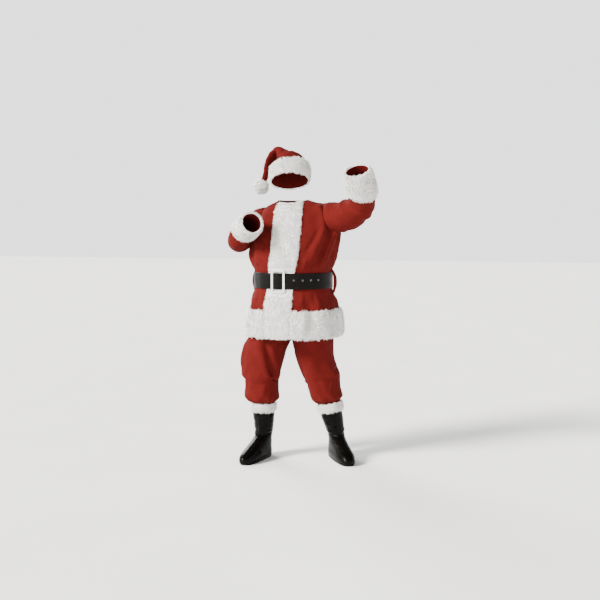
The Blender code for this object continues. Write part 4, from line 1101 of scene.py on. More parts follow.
def makeStrap():
    start, end = belt["buckleAngle"] + fullTurn, belt["buckleAngle"] - belt["strapEnd"] / belt["girthRadius"]

    def place(u, v):
        angle = end + (start - end) * u
        lift = strapLift(angle) if angle - belt["buckleAngle"] < math.pi else 0.0
        run = (angle - end) * belt["girthRadius"]
        half = belt["width"] / 2
        if run < belt["tipLength"]:
            rounding = (1 - (1 - run / belt["tipLength"]) ** belt["tipPower"]) ** 0.5
            half *= rounding * (1 - belt["tipShare"]) + belt["tipShare"]
        across = math.copysign(1 - (1 - abs(2 * v - 1)) ** belt["edgeCrowding"], v - 0.5)
        inside = half * (1 - abs(across))
        out = -belt["edgeDrop"] * (1 - ease(inside / belt["edgeWidth"]))
        out -= belt["lineDepth"] * bump(inside - belt["lineInside"], belt["lineWidth"])
        return beltPoint(angle, belt["height"] + half * across, belt["thick"] + lift + out)

    shape = shapedGrid(belt["columns"], belt["rows"], place)
    strap = finishPiece("beltStrap", shape, satinLeathercloth, ["belt_strap"], 35)
    holes = bmesh.new()
    for angle in belt["eyelets"]:
        addRod(holes, belt["holeRadius"], belt["holeDepth"], atEyelet(angle, 0.0))
    cutter = finishPiece("strapHoles", holes, None)
    thicken(strap, belt["thick"] - belt["edgeDrop"], [cutter])
    bpy.data.objects.remove(cutter)
    return strap


def makeEyelet(number, angle):
    # a pressed ring with a rolled rim and a flat flange
    ring = bmesh.new()
    points = [ring.verts.new((radius, 0, height)) for radius, height in belt["eyeletSection"]]
    edges = [ring.edges.new(pair) for pair in zip(points, points[1:] + points[:1])]
    bmesh.ops.spin(
        ring, geom=points + edges, axis=(0, 0, 1), cent=(0, 0, 0), angle=fullTurn,
        steps=belt["eyeletSteps"], use_merge=True)
    bmesh.ops.remove_doubles(ring, verts=ring.verts, dist=suit["nudge"])
    bmesh.ops.recalc_face_normals(ring, faces=ring.faces)
    bmesh.ops.transform(ring, verts=ring.verts, matrix=atEyelet(angle, belt["eyeletOut"] + suit["layGap"]))
    orderBody(ring)
    return finishPiece(f"beltEyelet{number}", ring, dulledNickel, [f"belt_eyelet_{number}"])


def roundedOutline(width, tall, radius):
    points = []
    for turn, (right, top) in enumerate(((1, 1), (-1, 1), (-1, -1), (1, -1))):
        for k in range(buckle["cornerSteps"] + 1):
            angle = math.pi / 2 * (turn + k / buckle["cornerSteps"])
            x = right * (width / 2 - radius) + radius * math.cos(angle)
            points.append((x, top * (tall / 2 - radius) + radius * math.sin(angle)))
    return points


def makeBuckle():
    # a flat cast frame with softened edges, and a round bar that the strap passes over
    width, tall, bar, around, soft = (buckle[key] for key in ("width", "tall", "bar", "around", "softness"))
    outer = roundedOutline(width, tall, buckle["corner"])
    window = roundedOutline(width - 2 * bar, tall - 2 * bar, buckle["windowCorner"])

    def place(u, v):
        (x1, y1), (x2, y2) = (edge[round(u * len(edge)) % len(edge)] for edge in (outer, window))
        turn = fullTurn * (round(v * around) % around + 0.5) / around
        share = 0.5 - 0.5 * signedPower(math.cos(turn), soft)
        height = signedPower(math.sin(turn), soft) * buckle["thick"] / 2
        # slightly crowned across the bar
        height *= 1 - buckle["crown"] * (2 * share - 1) ** 2
        return Vector((x1 + (x2 - x1) * share, y1 + (y2 - y1) * share, height))

    rim = shapedGrid(len(outer), around, place)
    bmesh.ops.recalc_face_normals(rim, faces=rim.faces)
    stand = standOn(belt["buckleAngle"], belt["height"], buckle["out"])
    bmesh.ops.transform(rim, verts=rim.verts, matrix=stand)
    piece = finishPiece("beltBuckle", rim, brightNickel, ["belt_buckle"], 50)
    pin = bmesh.new()
    turned = stand @ Matrix.Translation((0, 0, -buckle["pinSink"])) @ Matrix.Rotation(math.pi / 2, 4, "X")
    addRod(pin, buckle["pin"], tall - bar, turned)
    pinPiece = finishPiece("bucklePin", pin, None)
    addBoolean(piece, "pin", "UNION", pinPiece)
    applyModifiers(piece)
    bpy.data.objects.remove(pinPiece)
    return piece


beltLoops = {
    "low": 0.975,
    "high": 1.117,
    "halfWidth": 0.009,
    "slack": 0.024,
    "slackPower": 2.4,
    "thick": 0.0050,
    "turn": 0.007,
    "facingRise": 0.05,
    # the edges are turned in this much, and a row of stitches raises a line beside them
    "edgeTurn": 0.0012,
    "stitchPlace": 0.62,
    "stitchWidth": 0.18,
    "stitchRise": 0.0005,
    "columns": 14,
    "rows": 64,
}


def makeBeltLoop(side, name):
    # a strip of plush folded double, sewn down above and below the belt and standing slack
    seam = math.pi / 2 if side == "left" else -math.pi / 2
    outward = torsoNormal(seam, belt["ringLevel"] + beltLoops["facingRise"])

    def place(u, v):
        level = beltLoops["low"] + (beltLoops["high"] - beltLoops["low"]) * v
        stand = 1 - abs(2 * v - 1) ** beltLoops["slackPower"]
        across = 2 * u - 1
        angle = seam + across * beltLoops["halfWidth"] / belt["girthRadius"]
        stitches = bump(abs(across) - beltLoops["stitchPlace"], beltLoops["stitchWidth"])
        fold = beltLoops["edgeTurn"] * abs(across) ** 4 + beltLoops["stitchRise"] * stitches
        lie = beltLoops["thick"] + 3 * suit["layGap"]
        turn = beltLoops["turn"] * (across if side == "left" else -across)
        return torsoPoint(angle, level, lie - fold * stand) + outward * (beltLoops["slack"] + turn) * stand

    shape = shapedGrid(beltLoops["columns"], beltLoops["rows"], place)
    loop = finishPiece(name, shape, redPlush, ["belt_loop_" + side])
    return thicken(loop, beltLoops["thick"])


beltStrap = makeStrap()
eyelets = [makeEyelet(number, angle) for number, angle in enumerate(belt["eyelets"], 1)]
beltBuckle = makeBuckle()
loops = [makeBeltLoop("left", "beltLoopLeft"), makeBeltLoop("right", "beltLoopRight")]
print("belt made")

# boot covers
boots = {
    # height, half width, reach to the toe and the heel from the leg's middle, how far it is foot
    "sections": Rows("height side toe heel ball", [
        (0.000, 0.044, 0.240, 0.052, 1.0),
        (0.014, 0.049, 0.248, 0.058, 1.0),
        (0.036, 0.050, 0.246, 0.060, 1.0),
        (0.060, 0.048, 0.222, 0.058, 0.9),
        (0.088, 0.046, 0.166, 0.056, 0.6),
        (0.114, 0.045, 0.110, 0.054, 0.3),
        (0.138, 0.047, 0.074, 0.054, 0.0),
        (0.162, 0.052, 0.063, 0.057, 0.0),
        (0.230, 0.061, 0.063, 0.064, 0.0),
        (0.330, 0.0678, 0.0678, 0.0678, 0.0),
    ]),
    "top": 0.330,
    "ankle": 0.140,
    "ballWidening": 0.42,
    "ballSquareness": 0.25,
    # place of the ankle and of the top, heading in degrees, tilt
    "stands": {
        "right": (-0.169, -0.047, -0.164, -0.074, -10, 0),
        "left": (0.240, 0.076, 0.2085, 0.0353, 35, 0.22),
    },
    # height, angle from the toe, width up and down, reach round, depth, slant
    "creases": {
        "right": [
            (0.142, 0.9, 0.008, 0.060, -0.0040, 0.20), (0.156, 1.2, 0.009, 0.060, 0.0030, 0.15),
            (0.132, -1.0, 0.008, 0.055, -0.0035, -0.15), (0.150, -1.3, 0.010, 0.060, 0.0030, -0.20),
            (0.168, -0.6, 0.009, 0.055, -0.0028, 0.10), (0.188, 0.5, 0.010, 0.050, 0.0022, -0.10),
            (0.215, -0.9, 0.012, 0.050, -0.0020, 0.20), (0.118, 2.6, 0.010, 0.045, -0.0030, 0.05),
            (0.146, 3.1, 0.010, 0.055, 0.0030, 0.00), (0.176, -2.7, 0.011, 0.050, -0.0028, 0.10),
            (0.096, 0.8, 0.008, 0.040, -0.0020, 0.30), (0.250, 1.6, 0.014, 0.050, 0.0018, 0.20),
        ],
        "left": [
            (0.140, -0.8, 0.008, 0.060, -0.0045, -0.20), (0.155, -1.1, 0.009, 0.060, 0.0032, -0.15),
            (0.148, 0.8, 0.009, 0.055, -0.0038, 0.20), (0.166, 1.0, 0.010, 0.055, 0.0030, 0.10),
            (0.180, -0.4, 0.009, 0.055, -0.0030, 0.15), (0.200, -0.8, 0.010, 0.050, 0.0022, -0.10),
            (0.120, 2.8, 0.010, 0.045, -0.0030, 0.05), (0.145, -3.0, 0.010, 0.055, 0.0030, 0.00),
            (0.172, 2.6, 0.011, 0.050, -0.0028, 0.10), (0.100, -0.9, 0.008, 0.040, -0.0022, -0.30),
            (0.240, -1.5, 0.014, 0.050, 0.0018, 0.20),
        ],
    },
    "creaseTurn": 0.06,  # turns a crease's slant into a rise round the ankle
    "creaseSpread": 1.4,
    "meanRadius": 0.058,
    # seams stand up in front and behind between these heights: depth and width
    "seamSpan": (0.012, 0.265),
    "toeSeam": (0.0022, 0.0042),
    "heelSeam": (0.0016, 0.0040),
    # the shoe's sole shows through as a groove and an edge: depth, height, width
    "solePress": [(-0.0022, 0.0155, 0.0040), (0.0012, 0.009, 0.0050)],
    "soleInset": 0.006,
    "unevenness": 0.0012,
    "unevenSize": 0.030,
    "unevenSpan": (0.02, 0.262),
    "furBottom": 0.277,
    "furTop": 0.331,
    "furDepth": 0.011,
    "crowding": 0.35,  # of columns to the toe seam and rings to the sole
    "columns": 112,
    "rings": 108,
}


def bootFolds(side, angle, height, row):
    out = 0.0
    for level, facing, tall, wide, depth, slant in boots["creases"][side]:
        away = wrapped(angle - facing)
        crease = bump(height - level - slant * boots["creaseTurn"] * away, tall * boots["creaseSpread"])
        out += depth * crease * bump(away * boots["meanRadius"], wide)
    low, high = boots["seamSpan"]
    sewn = ease((height - low) / 0.01) * ease((high - height) / 0.02)
    for facing, key in ((0.0, "toeSeam"), (math.pi, "heelSeam")):
        depth, width = boots[key]
        out += depth * bump(wrapped(angle - facing) * row.side, width) * sewn
    for depth, level, width in boots["solePress"]:
        out += depth * bump(height - level, width)
    return out


def bootPoint(side, angle, height, out=0.0, wrinkled=True):
    # the angle runs from the toe round the wearer's left; the lower rings are egg-shaped
    row = boots["sections"].at(height)
    x, y, topX, topY, heading, tilt = boots["stands"][side]
    share = clamp((height - boots["ankle"]) / (boots["top"] - boots["ankle"]))
    ahead = math.cos(angle)
    across = signedPower(math.sin(angle), 1 - boots["ballSquareness"] * row.ball)
    across *= 1 + boots["ballWidening"] * row.ball * ahead
    reach = row.toe if ahead >= 0 else row.heel
    if wrinkled:
        out += bootFolds(side, angle, height, row)
        # puckers are sampled on a simple round boot
        low, high = boots["unevenSpan"]
        spot = Vector((ahead * 0.2 * reach / 0.06, across * 0.06, height))
        loose = ease((height - low) / 0.02) * ease((high - height) / 0.03)
        out += soften(spot, boots["unevenSize"], boots["unevenness"]) * loose
    offset = Vector(((row.side + out) * across, -(reach + out) * ahead, 0))
    offset.rotate(Matrix.Rotation(math.radians(heading), 3, "Z"))
    x, y = x + (topX - x) * share, y + (topY - y) * share
    return Vector((x + offset.x, y + offset.y, height + tilt * share * offset.x))


def makeBoot(side, name):
    def place(u, v):
        crowding = boots["crowding"]
        angle = fullTurn * u - crowding * math.sin(fullTurn * u)
        return bootPoint(side, angle, boots["top"] * (crowding * v * v + (1 - crowding) * v))

    shell = shapedGrid(boots["columns"], boots["rings"], place)
    soleEdges = [e for e in shell.edges if e.is_boundary and e.verts[0].co.z < 0.001]
    bmesh.ops.holes_fill(shell, edges=soleEdges, sides=0)
    sole = [f for f in shell.faces if len(f.verts) > 4]
    bmesh.ops.inset_region(shell, faces=sole, thickness=boots["soleInset"], depth=0.0)
    bmesh.ops.triangulate(shell, faces=[f for f in shell.faces if len(f.verts) > 4])
    cover = finishPiece(name, shell, glossVinyl, ["boot_cover_" + side], 50)
    return thicken(cover, suit["vinyl"])


bootRight = makeBoot("right", "bootCoverRight")
bootLeft = makeBoot("left", "bootCoverLeft")
print("boot covers made")

# hat
hat = {
    # middle of each section, reach front to back, reach in the plane of the fold
    "tube": Tube("x y z deep wide", [
        (-0.001, -0.063, 1.622, 0.104, 0.106),
        (-0.017, -0.027, 1.716, 0.101, 0.097),
        (-0.049, -0.014, 1.763, 0.084, 0.048),
        (-0.080, -0.010, 1.795, 0.064, 0.026),
        (-0.110, -0.008, 1.778, 0.051, 0.022),
        (-0.144, -0.004, 1.733, 0.042, 0.021),
        (-0.159, 0.003, 1.683, 0.034, 0.019),
        (-0.186, 0.005, 1.632, 0.018, 0.015),
    ], (0, -1, 0)),
    # run, angle where it is strongest, width, depth, slant
    "creases": [
        (0.150, 1.4, 0.014, 0.0030, 0.030), (0.172, 0.6, 0.012, -0.0035, 0.026),
        (0.196, 5.4, 0.012, 0.0030, -0.020), (0.222, 0.4, 0.012, -0.0030, 0.018),
        (0.252, 1.0, 0.012, 0.0028, 0.014), (0.286, 5.8, 0.012, -0.0025, 0.014),
        (0.330, 0.3, 0.014, 0.0020, 0.016), (0.168, 3.6, 0.014, -0.0030, 0.024),
        (0.205, 2.8, 0.013, 0.0028, 0.020),
    ],
    "seamDip": 0.0014,
    "seamWidth": 0.008,
    "unevenness": 0.0014,
    "unevenSize": 0.045,
    "looseFrom": 0.10,  # above the band
    "bandStart": 0.001,
    "bandLength": 0.094,
    "columns": 88,
    "rings": 104,
    "tipRadius": 0.015,
    "pompomRadius": 0.042,
    "pompomShare": 0.88,  # of the radius that the body fills
}


def hatPoint(angle, run, out=0.0):
    tube = hat["tube"]
    middle, aside, up = tube.frame(run)
    row = tube.rows.at(run)
    out += creaseHeight(hat["creases"], angle, run)
    around = aside * math.cos(angle) * row.deep + up * math.sin(angle) * row.wide
    # the sewn seam up the back of the crown draws in a little
    out -= hat["seamDip"] * bump(wrapped(angle - math.pi) * row.deep, hat["seamWidth"])
    loose = ease((run - hat["looseFrom"]) / 0.03)
    out += soften(middle + around, hat["unevenSize"], hat["unevenness"]) * loose
    return middle + aside * math.cos(angle) * (row.deep + out) + up * math.sin(angle) * (row.wide + out)


def makeCrown():
    start, end = hat["bandStart"], hat["tube"].length
    shape = shapedGrid(
        hat["columns"], hat["rings"], lambda u, v: hatPoint(u * fullTurn, start + (end - start) * v))
    crown = finishPiece("hatCrown", shape, redPlush, ["hat_crown"])
    return thicken(crown, suit["cloth"])


hatCrown = makeCrown()
print("hat crown made")

# fur trims: a soft body with thousands of small curved locks on it
fur = {
    "bodyShare": 0.62,  # of the pile's depth that the body fills
    "inset": 0.0035,  # the body's edges lie this far inside the trim's
    "lobeSize": 0.050,  # soft lobes, taller than they are wide
    "lobeDepth": 0.0042,
    "lobeSquash": 0.45,
    "lumpSize": 0.017,
    "lumpDepth": 0.0022,
    "spacing": 0.0043,  # staples grow closer; drawn as locks wide enough to show
    "lockLength": 0.0165,
    "lockWidth": 0.0050,
    "lean": 0.98,  # radians from upright
    "leanRange": (0.35, 1.25),
    "combSize": 0.024,  # locks this near each other lean the same way
    "combStrength": 1.6,
    "combScatter": 0.28,
    "leanScatter": 0.22,
    "bends": (0.7, 1.35),  # a lock's lower and upper halves lean by these shares
    "curl": 0.35,
    "leastRise": 0.12,
    "lengths": (0.72, 1.2),
    "widths": (0.75, 1.2),
    "sunk": 0.0012,
    "halves": (0.55, 0.50),  # lengths of the two halves
    "belly": 1.55,
    "flatness": 0.7,
    # a lock's rings, by height on the unit spike: below the first it is root, above the second tip
    "rings": (0.25, 0.9),
    # painted shade on the body, as if shaded by the locks; random shades of whole locks; painted shade at a
    # lock's root and middle, as if shaded by the pile
    "bodyPaintedShade": 0.88,
    "lockShades": (0.95, 1.0),
    "rootPaintedShade": 0.86,
    "middlePaintedShade": 0.97,
    "facing": -0.2,  # faces turned further back than this carry no locks
    "backRows": 4,
    "pileRows": 20,
    "seed": 7,
}


def furSection(v, depth, rounding):
    # round the trim's section: its flat back, then the pile; gives the place across and the height
    back, pile = fur["backRows"], fur["pileRows"]
    step = v * (back + pile)
    if step < back:
        return step / back, 0.0
    along = (step - back) / pile
    across = 0.5 + 0.5 * math.cos(math.pi * along)
    return across, depth * (1 - abs(2 * across - 1) ** rounding) ** (1 / rounding)


def lockShape():
    # one lock, upright and of unit size: a three-sided spike with a ring at its middle
    spike = bmesh.new()
    bmesh.ops.create_cone(spike, cap_ends=True, segments=3, radius1=0.5, radius2=0.0, depth=1.0)
    bmesh.ops.remove_doubles(spike, verts=spike.verts, dist=1e-4)
    everything = spike.verts[:] + spike.edges[:] + spike.faces[:]
    bmesh.ops.bisect_plane(spike, geom=everything, plane_co=(0, 0, 0.05), plane_no=(0, 0, 1))
    bmesh.ops.translate(spike, verts=spike.verts, vec=(0, 0, 0.5))
    spike.verts.ensure_lookup_table()
    points = np.array([v.co[:] for v in spike.verts])
    faces = [[v.index for v in f.verts] for f in spike.faces]
    spike.free()
    return points, faces


lockPoints, lockFaces = lockShape()


def lockRing(height, root, middle, tip):
    # which of the three a point of the unit spike belongs to
    low, high = fur["rings"]
    return root if height < low else middle if height < high else tip


def unit(vectors):
    return vectors / np.maximum(np.linalg.norm(vectors, axis=-1, keepdims=True), 1e-9)


def lockMesh(roots, normals, ups, comb, scales, rng):
    count = len(roots)
    # three plain noises make the direction: noise_vector isn't the same from run to run
    shifts = [Vector((0, 0, 0)), Vector((19.3, 7.1, 3.7)), Vector((5.9, 31.3, 11.9))]
    combed = [Vector(root) / fur["combSize"] for root in roots]
    field = np.array([[noise.noise(place + shift) for shift in shifts] for place in combed])
    lean = field * fur["combStrength"] + rng.normal(0, fur["combScatter"], (count, 3)) + np.array(comb)
    along = unit(lean - normals * np.sum(lean * normals, axis=1, keepdims=True))
    across = np.cross(normals, along)
    tilt = fur["lean"] + rng.normal(0, fur["leanScatter"], count)
    tilt = np.clip(tilt, *fur["leanRange"])[:, None]
    lower, upper = (tilt * bend for bend in fur["bends"])
    first = normals * np.cos(lower) + along * np.sin(lower)
    curl = rng.normal(0, fur["curl"], count)[:, None]
    second = unit(normals * np.cos(upper) + along * np.sin(upper) + across * curl)
    # no lock dives into the cloth beside the trim
    for direction in (first, second):
        dive = np.minimum(np.sum(direction * ups, axis=1, keepdims=True) - fur["leastRise"], 0)
        direction -= ups * dive
    first, second = unit(first), unit(second)
    length = fur["lockLength"] * scales * rng.uniform(*fur["lengths"], count)
    wide = fur["lockWidth"] * np.sqrt(scales) * rng.uniform(*fur["widths"], count)
    start = roots - normals * fur["sunk"]
    middle = start + first * (fur["halves"][0] * length)[:, None]
    tip = middle + second * (fur["halves"][1] * length)[:, None]
    side = unit(np.cross(first, along + 1e-3))
    over = np.cross(side, first)
    points = np.zeros((count, len(lockPoints), 3))
    for k, (x, y, z) in enumerate(lockPoints):
        centre, spread = lockRing(z, (start, 1.0), (middle, fur["belly"]), (tip, 0.0))
        width, depth = (x * spread * wide)[:, None], (y * spread * wide * fur["flatness"])[:, None]
        points[:, k] = centre + side * width + over * depth
    return points


def softBody(columns, rows, spot):
    # spot(u, v, lift) places a point of the body; lift carries it further off the cloth
    body = bmesh.new()
    bmesh.ops.create_grid(body, x_segments=columns, y_segments=rows, size=0.5)
    upLayer = body.verts.layers.float_vector.new("up")
    places, ups = [], {}
    for vertex in body.verts:
        u, v = vertex.co.x + 0.5, vertex.co.y + 0.5
        point, above = spot(u, v, 0.0), spot(u, v, 0.01)
        vertex.co = point
        places.append(tuple(round(value, 5) for value in point))
        ups[places[-1]] = ups.get(places[-1], Vector()) + (above - point).normalized()
    # vertices that will merge share one upward direction
    for vertex, place in zip(body.verts, places):
        vertex[upLayer] = ups[place].normalized()
    bmesh.ops.remove_doubles(body, verts=body.verts, dist=suit["nudge"])
    bmesh.ops.holes_fill(body, edges=[e for e in body.edges if e.is_boundary], sides=0)
    bmesh.ops.recalc_face_normals(body, faces=body.faces)
    bmesh.ops.triangulate(body, faces=[f for f in body.faces if len(f.verts) > 4])
    body.normal_update()
    bmesh.ops.translate(body, verts=body.verts, vec=(0, 0, -suit["neckHeight"]))
    orderBody(body)
    return body, upLayer


def spotOnFace(corners, a, b):
    if len(corners) == 4:
        return corners[0].lerp(corners[1], a).lerp(corners[3].lerp(corners[2], a), b)
    if a + b > 1:
        a, b = 1 - a, 1 - b
    return corners[0] + (corners[1] - corners[0]) * a + (corners[2] - corners[0]) * b


def furTrim(
        name, columns, spot, nodes, comb=(0, 0, -0.35), size=None, spacing=1.0, hidden=None,
        rows=fur["backRows"] + fur["pileRows"]):
    rng = np.random.default_rng(fur["seed"] + len(name))
    body, upLayer = softBody(columns, rows, spot)
    # locks all over, except on the backing
    body.verts.ensure_lookup_table()
    roots, normals, lifts = [], [], []
    cell = (fur["spacing"] * spacing) ** 2
    for face in body.faces:
        up = sum((v[upLayer] for v in face.verts), Vector()).normalized()
        if face.normal.dot(up) < fur["facing"]:
            continue
        order = [vertex.index for vertex in face.verts]
        first = order.index(min(order))
        corners = [body.verts[index].co for index in order[first:] + order[:first]]
        for _ in range(int(face.calc_area() / cell + rng.random())):
            root = spotOnFace(corners, *rng.random(2))
            if hidden and hidden(root):
                continue
            roots.append(root[:])
            normals.append(face.normal[:])
            lifts.append(up[:])
    roots, normals, lifts = np.array(roots), np.array(normals), np.array(lifts)
    scales = np.array([size(root) for root in roots]) if size else np.ones(len(roots))
    locks = lockMesh(roots, normals, lifts, comb, scales, rng)
    return joinLocks(name, body, locks, rng, nodes)


def joinLocks(name, body, locks, rng, nodes):
    # body and locks in one mesh; an attribute keeps each lock's random shade, with painted shade greying its
    # root and the body under the locks
    base = np.array([v.co[:] for v in body.verts])
    baseFaces = [[v.index for v in f.verts] for f in body.faces]
    body.free()
    count, corners = locks.shape[:2]
    points = np.concatenate([base, locks.reshape(-1, 3)])
    offsets = (len(base) + corners * np.arange(count))[:, None]
    lockLoops = (np.concatenate(lockFaces)[None, :] + offsets).ravel()
    loops = np.concatenate([np.concatenate(baseFaces), lockLoops])
    sizes = np.array([len(f) for f in baseFaces] + [len(f) for f in lockFaces] * count)
    mesh = bpy.data.meshes.new(name)
    mesh.vertices.add(len(points))
    mesh.vertices.foreach_set("co", points.ravel())
    mesh.loops.add(len(loops))
    mesh.loops.foreach_set("vertex_index", loops)
    mesh.polygons.add(len(sizes))
    mesh.polygons.foreach_set("loop_start", np.concatenate([[0], np.cumsum(sizes)[:-1]]))
    mesh.update(calc_edges=True)
    mesh.validate()
    toneAndPaintedShade = np.full((len(points), 4), 1.0)
    # painted shade: the body under the locks is darker, as if shaded by them
    toneAndPaintedShade[:len(base), :3] = fur["bodyPaintedShade"]
    own = rng.uniform(*fur["lockShades"], count)[:, None]
    # painted shade: each lock is darker at its root and middle, as if shaded by the pile around it
    paintedShadeByRing = np.array([[lockRing(z, fur["rootPaintedShade"], fur["middlePaintedShade"], 1.0) for z in lockPoints[:, 2]]])
    toneAndPaintedShade[len(base):, :3] = (own * paintedShadeByRing).ravel()[:, None]
    layer = mesh.color_attributes.new("lockToneAndPaintedShade", "FLOAT_COLOR", "POINT")
    layer.data.foreach_set("color", toneAndPaintedShade.ravel())
    mesh.shade_smooth()
    mesh.materials.append(whiteFur)
    piece = bpy.data.objects.new(name, mesh)
    bpy.context.scene.collection.objects.link(piece)
    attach(piece, "root")
    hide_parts(*nodes)
    return piece


def lumpy(point, share=1.0):
    # the pile stands in soft upright lobes with smaller clumps on them
    tall = Vector((point.x, point.y, point.z * fur["lobeSquash"]))
    lobe = noise.noise(tall / fur["lobeSize"]) * fur["lobeDepth"]
    return (lobe + noise.noise(point / fur["lumpSize"]) * fur["lumpDepth"]) * share


def pileBody(v, depth, width, rounding):
    # the soft body's section: a shallower pile whose edges lie inside the trim's
    across, height = furSection(v, depth * fur["bodyShare"], rounding)
    inset = fur["inset"] / width
    return inset + (1 - 2 * inset) * across, height


trims = {
    "depth": 0.015,
    "cuffDepth": 0.019,
    "hemBottom": 0.730,
    "hemTop": 0.887,
    "placketRise": 0.002,  # the placket starts this far above the hem's edge
    "placketStart": 0.003,
    "beltEase": 0.035,  # the pile rises again over this height
    "beltMargin": 0.003,
    "lumpsFrom": 0.006,  # thinner pile lies flat
    "lockSize": 0.85,  # of the placket's
    "lockPower": 0.45,
    # no locks between these heights from the belt's lower and upper edges
    "hiddenBelow": -0.003,
    "hiddenAbove": 0.009,
    "hemColumns": 200,
    "placketColumns": 110,
    "cuffColumns": 56,
    "bootColumns": 64,
    "pompomColumns": 36,
    "pompomRows": 22,
}


def placketDepth(level):
    # the pile is pinched where the belt and buckle cross it
    flare = jacket["sections"].at(level).front - jacket["sections"].at(belt["ringLevel"]).front
    underFrame = belt["onFur"] + buckle["out"] - buckle["thick"] / 2 - flare
    pinched = min(belt["onFur"], underFrame) - 4 * suit["layGap"]
    away = abs(level - belt["height"]) - buckle["tall"] / 2 - trims["beltMargin"]
    return pinched + (trims["depth"] - pinched) * ease(away / trims["beltEase"])


def hangingPoint(angle, level, out):
    # over the jacket body, or straight below its edge
    point = torsoPoint(angle, max(level, jacket["hemLevel"]), out)
    point.z -= max(jacket["hemLevel"] - level, 0.0)
    return point


def lumpsAround(point, middle):
    return (point - middle).normalized() * lumpy(point)


def makePlacket():
    low, high = trims["hemBottom"] + trims["placketRise"], jacket["neckLevel"]
    low += trims["placketStart"]
    half = jacket["placketColumn"]

    def spot(u, v, lift):
        level = low + (high - low) * u
        depth = placketDepth(level)
        across, height = pileBody(v, depth, jacket["placketWidth"], rounding=3.0)
        angle = jacketAngle(2 * half * across - half, max(level, jacket["hemLevel"]))
        out = 3 * suit["layGap"] + height + lift
        if height:
            out += lumpy(torsoForm(angle, level), clamp((depth - trims["lumpsFrom"]) / trims["lumpsFrom"]))
        return hangingPoint(angle, level, out)

    def size(root):
        level = root[2] + suit["neckHeight"]
        return trims["lockSize"] * clamp(placketDepth(level) / trims["depth"]) ** trims["lockPower"]

    def hidden(root):
        # under the belt, and where the locks just above it would run through it
        above, half = root.z + suit["neckHeight"] - belt["height"], belt["width"] / 2
        return trims["hiddenBelow"] < above + half and above - half < trims["hiddenAbove"]

    return furTrim("furPlacket", trims["placketColumns"], spot, ["fur_placket"], size=size, hidden=hidden)


def makeHem():
    first, last = jacket["placketColumn"], jacket["round"] - jacket["placketColumn"]
    tall = trims["hemTop"] - trims["hemBottom"]

    def spot(u, v, lift):
        across, height = pileBody(v, trims["depth"], tall, rounding=3.0)
        level = trims["hemBottom"] + tall * across
        angle = jacketAngle(first + (last - first) * u, max(level, jacket["hemLevel"]))
        out = 3 * suit["layGap"] + height + lift
        if height:
            out += lumpy(torsoForm(angle, level))
        return hangingPoint(angle, level, out)

    return furTrim("furHem", trims["hemColumns"], spot, ["fur_hem"])


def makeCuff(side, name):
    start = sleeves[side].length - sleeves["cuffLength"]

    def spot(u, v, lift):
        across, height = pileBody(v, trims["cuffDepth"], sleeves["cuffLength"], rounding=2.6)
        run = start + sleeves["cuffLength"] * across
        point = sleevePoint(side, u * fullTurn, run, 2 * suit["layGap"] + height + lift)
        return point + lumpsAround(point, sleeves[side].middle(run)) if height else point

    return furTrim(name, trims["cuffColumns"], spot, ["fur_cuff_" + side])


def makeBootFur(side, name):
    tall = boots["furTop"] - boots["furBottom"]

    def spot(u, v, lift):
        across, height = pileBody(v, boots["furDepth"], tall, rounding=2.4)
        level = min(boots["furBottom"] + tall * across, boots["top"])
        return bootPoint(side, u * fullTurn, level, 2 * suit["layGap"] + height + lift, wrinkled=False)

    return furTrim(
        name, trims["bootColumns"], spot, ["boot_fur_" + side], size=lambda root: 0.8, spacing=0.92)


def makeHatBand():
    def spot(u, v, lift):
        across, height = pileBody(v, trims["depth"], hat["bandLength"], rounding=2.6)
        run = hat["bandStart"] + hat["bandLength"] * across
        point = hatPoint(u * fullTurn, run, suit["layGap"] + height + lift)
        return point + lumpsAround(point, hat["tube"].middle(run)) if height else point

    return furTrim("hatBand", hat["columns"], spot, ["hat_band"], comb=(0, 0, -0.15))


def makePompom():
    rim = hat["tipRadius"] - suit["cloth"]
    reach = math.sqrt(hat["pompomRadius"] ** 2 - rim**2)
    centre = hat["tube"].middle(hat["tube"].length + reach)
    radius = hat["pompomRadius"] * hat["pompomShare"]

    def spot(u, v, lift):
        around, high = u * fullTurn, math.pi * (v - 0.5)
        ray = Vector((math.cos(high) * math.cos(around), math.cos(high) * math.sin(around), math.sin(high)))
        return centre + ray * (radius + lift + lumpy(ray * hat["pompomRadius"]))

    return furTrim(
        "hatPompom", trims["pompomColumns"], spot, ["hat_pompom"], comb=(0, 0, -0.1),
        size=lambda root: 1.15, spacing=0.8, rows=trims["pompomRows"])


furPlacket = makePlacket()
furHem = makeHem()
furCuffRight = makeCuff("right", "furCuffRight")
furCuffLeft = makeCuff("left", "furCuffLeft")
bootFurRight = makeBootFur("right", "bootFurRight")
bootFurLeft = makeBootFur("left", "bootFurLeft")
hatBand = makeHatBand()
hatPompom = makePompom()
print("fur made")

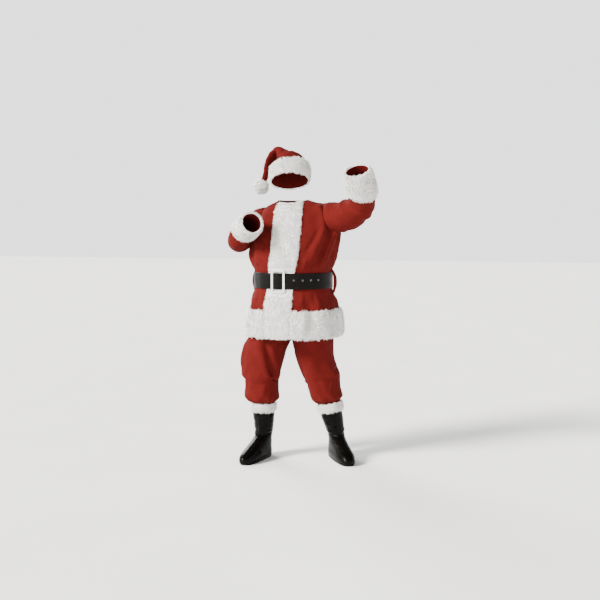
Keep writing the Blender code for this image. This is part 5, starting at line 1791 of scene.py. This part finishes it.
# the drafts: pairs of distance along the cut, from its hem or cuff end, and width there,
# from the girths of the sections; two widths at one distance are a step
cuts = {
    "jacketFrontLeft": [
        (0, 0.436), (0.150, 0.415), (0.317, 0.355), (0.458, 0.365), (0.600, 0.364), (0.660, 0.260),
        (0.715, 0.210), (0.770, 0.200), (0.840, 0.135),
    ],
    "jacketFrontRight": [
        (0, 0.392), (0.150, 0.369), (0.317, 0.321), (0.458, 0.379), (0.600, 0.340), (0.660, 0.239),
        (0.715, 0.205), (0.770, 0.210), (0.840, 0.140),
    ],
    "jacketBack": [
        (0, 0.789), (0.150, 0.747), (0.317, 0.648), (0.458, 0.714), (0.600, 0.694), (0.660, 0.493),
        (0.715, 0.425), (0.765, 0.430), (0.810, 0.362), (0.850, 0.279),
    ],
    "sleeveLeft": [
        (0, 0.390), (0.070, 0.408), (0.145, 0.440), (0.240, 0.490), (0.330, 0.534), (0.410, 0.559),
        (0.460, 0.565),
    ],
    "sleeveRight": [
        (0, 0.339), (0.070, 0.346), (0.147, 0.371), (0.242, 0.421), (0.304, 0.440), (0.378, 0.484),
        (0.440, 0.508),
    ],
    "trouserFront": [
        (0, 0.200), (0.034, 0.200), (0.066, 0.290), (0.090, 0.320), (0.150, 0.310), (0.220, 0.355),
        (0.330, 0.364), (0.395, 0.383), (0.430, 0.408), (0.475, 0.350), (0.540, 0.315), (0.610, 0.323),
        (0.730, 0.332),
    ],
    "trouserBack": [
        (0, 0.200), (0.034, 0.200), (0.066, 0.290), (0.090, 0.320), (0.150, 0.316), (0.220, 0.363),
        (0.330, 0.364), (0.395, 0.386), (0.430, 0.409), (0.475, 0.350), (0.540, 0.312), (0.610, 0.316),
        (0.730, 0.318),
    ],
    "waistband": [(0, 1.300), (0.048, 1.300)],
    "beltLoop": [(0, 0.022), (0.165, 0.022)],
    "hatCrown": [
        (0, 0.660), (0.102, 0.622), (0.160, 0.430), (0.205, 0.307), (0.239, 0.247), (0.296, 0.209),
        (0.349, 0.173), (0.406, 0.104),
    ],
    # the shaft and foot, then the sole
    "bootCover": [
        (0, 0.426), (0.100, 0.390), (0.168, 0.360), (0.192, 0.350), (0.221, 0.416), (0.256, 0.533),
        (0.292, 0.657), (0.319, 0.715), (0.340, 0.720), (0.355, 0.690), (0.355, 0.100), (0.645, 0.070),
    ],
}


def declareCloth(piece, cut):
    stations = cuts[cut]
    pairs = zip(stations, stations[1:])
    area = sum((far - near) * (start + end) / 2 for (near, start), (far, end) in pairs)


declareCloth(jacketFrontLeft, "jacketFrontLeft")
declareCloth(jacketFrontRight, "jacketFrontRight")
declareCloth(jacketBack, "jacketBack")
declareCloth(sleeveLeft, "sleeveLeft")
declareCloth(sleeveRight, "sleeveRight")
for front, back in (trouserPanels[:2], trouserPanels[2:]):
    declareCloth(front, "trouserFront")
    declareCloth(back, "trouserBack")
declareCloth(waistbandPiece, "waistband")
for loop in loops:
    declareCloth(loop, "beltLoop")
declareCloth(hatCrown, "hatCrown")
declareCloth(bootRight, "bootCover")
declareCloth(bootLeft, "bootCover")
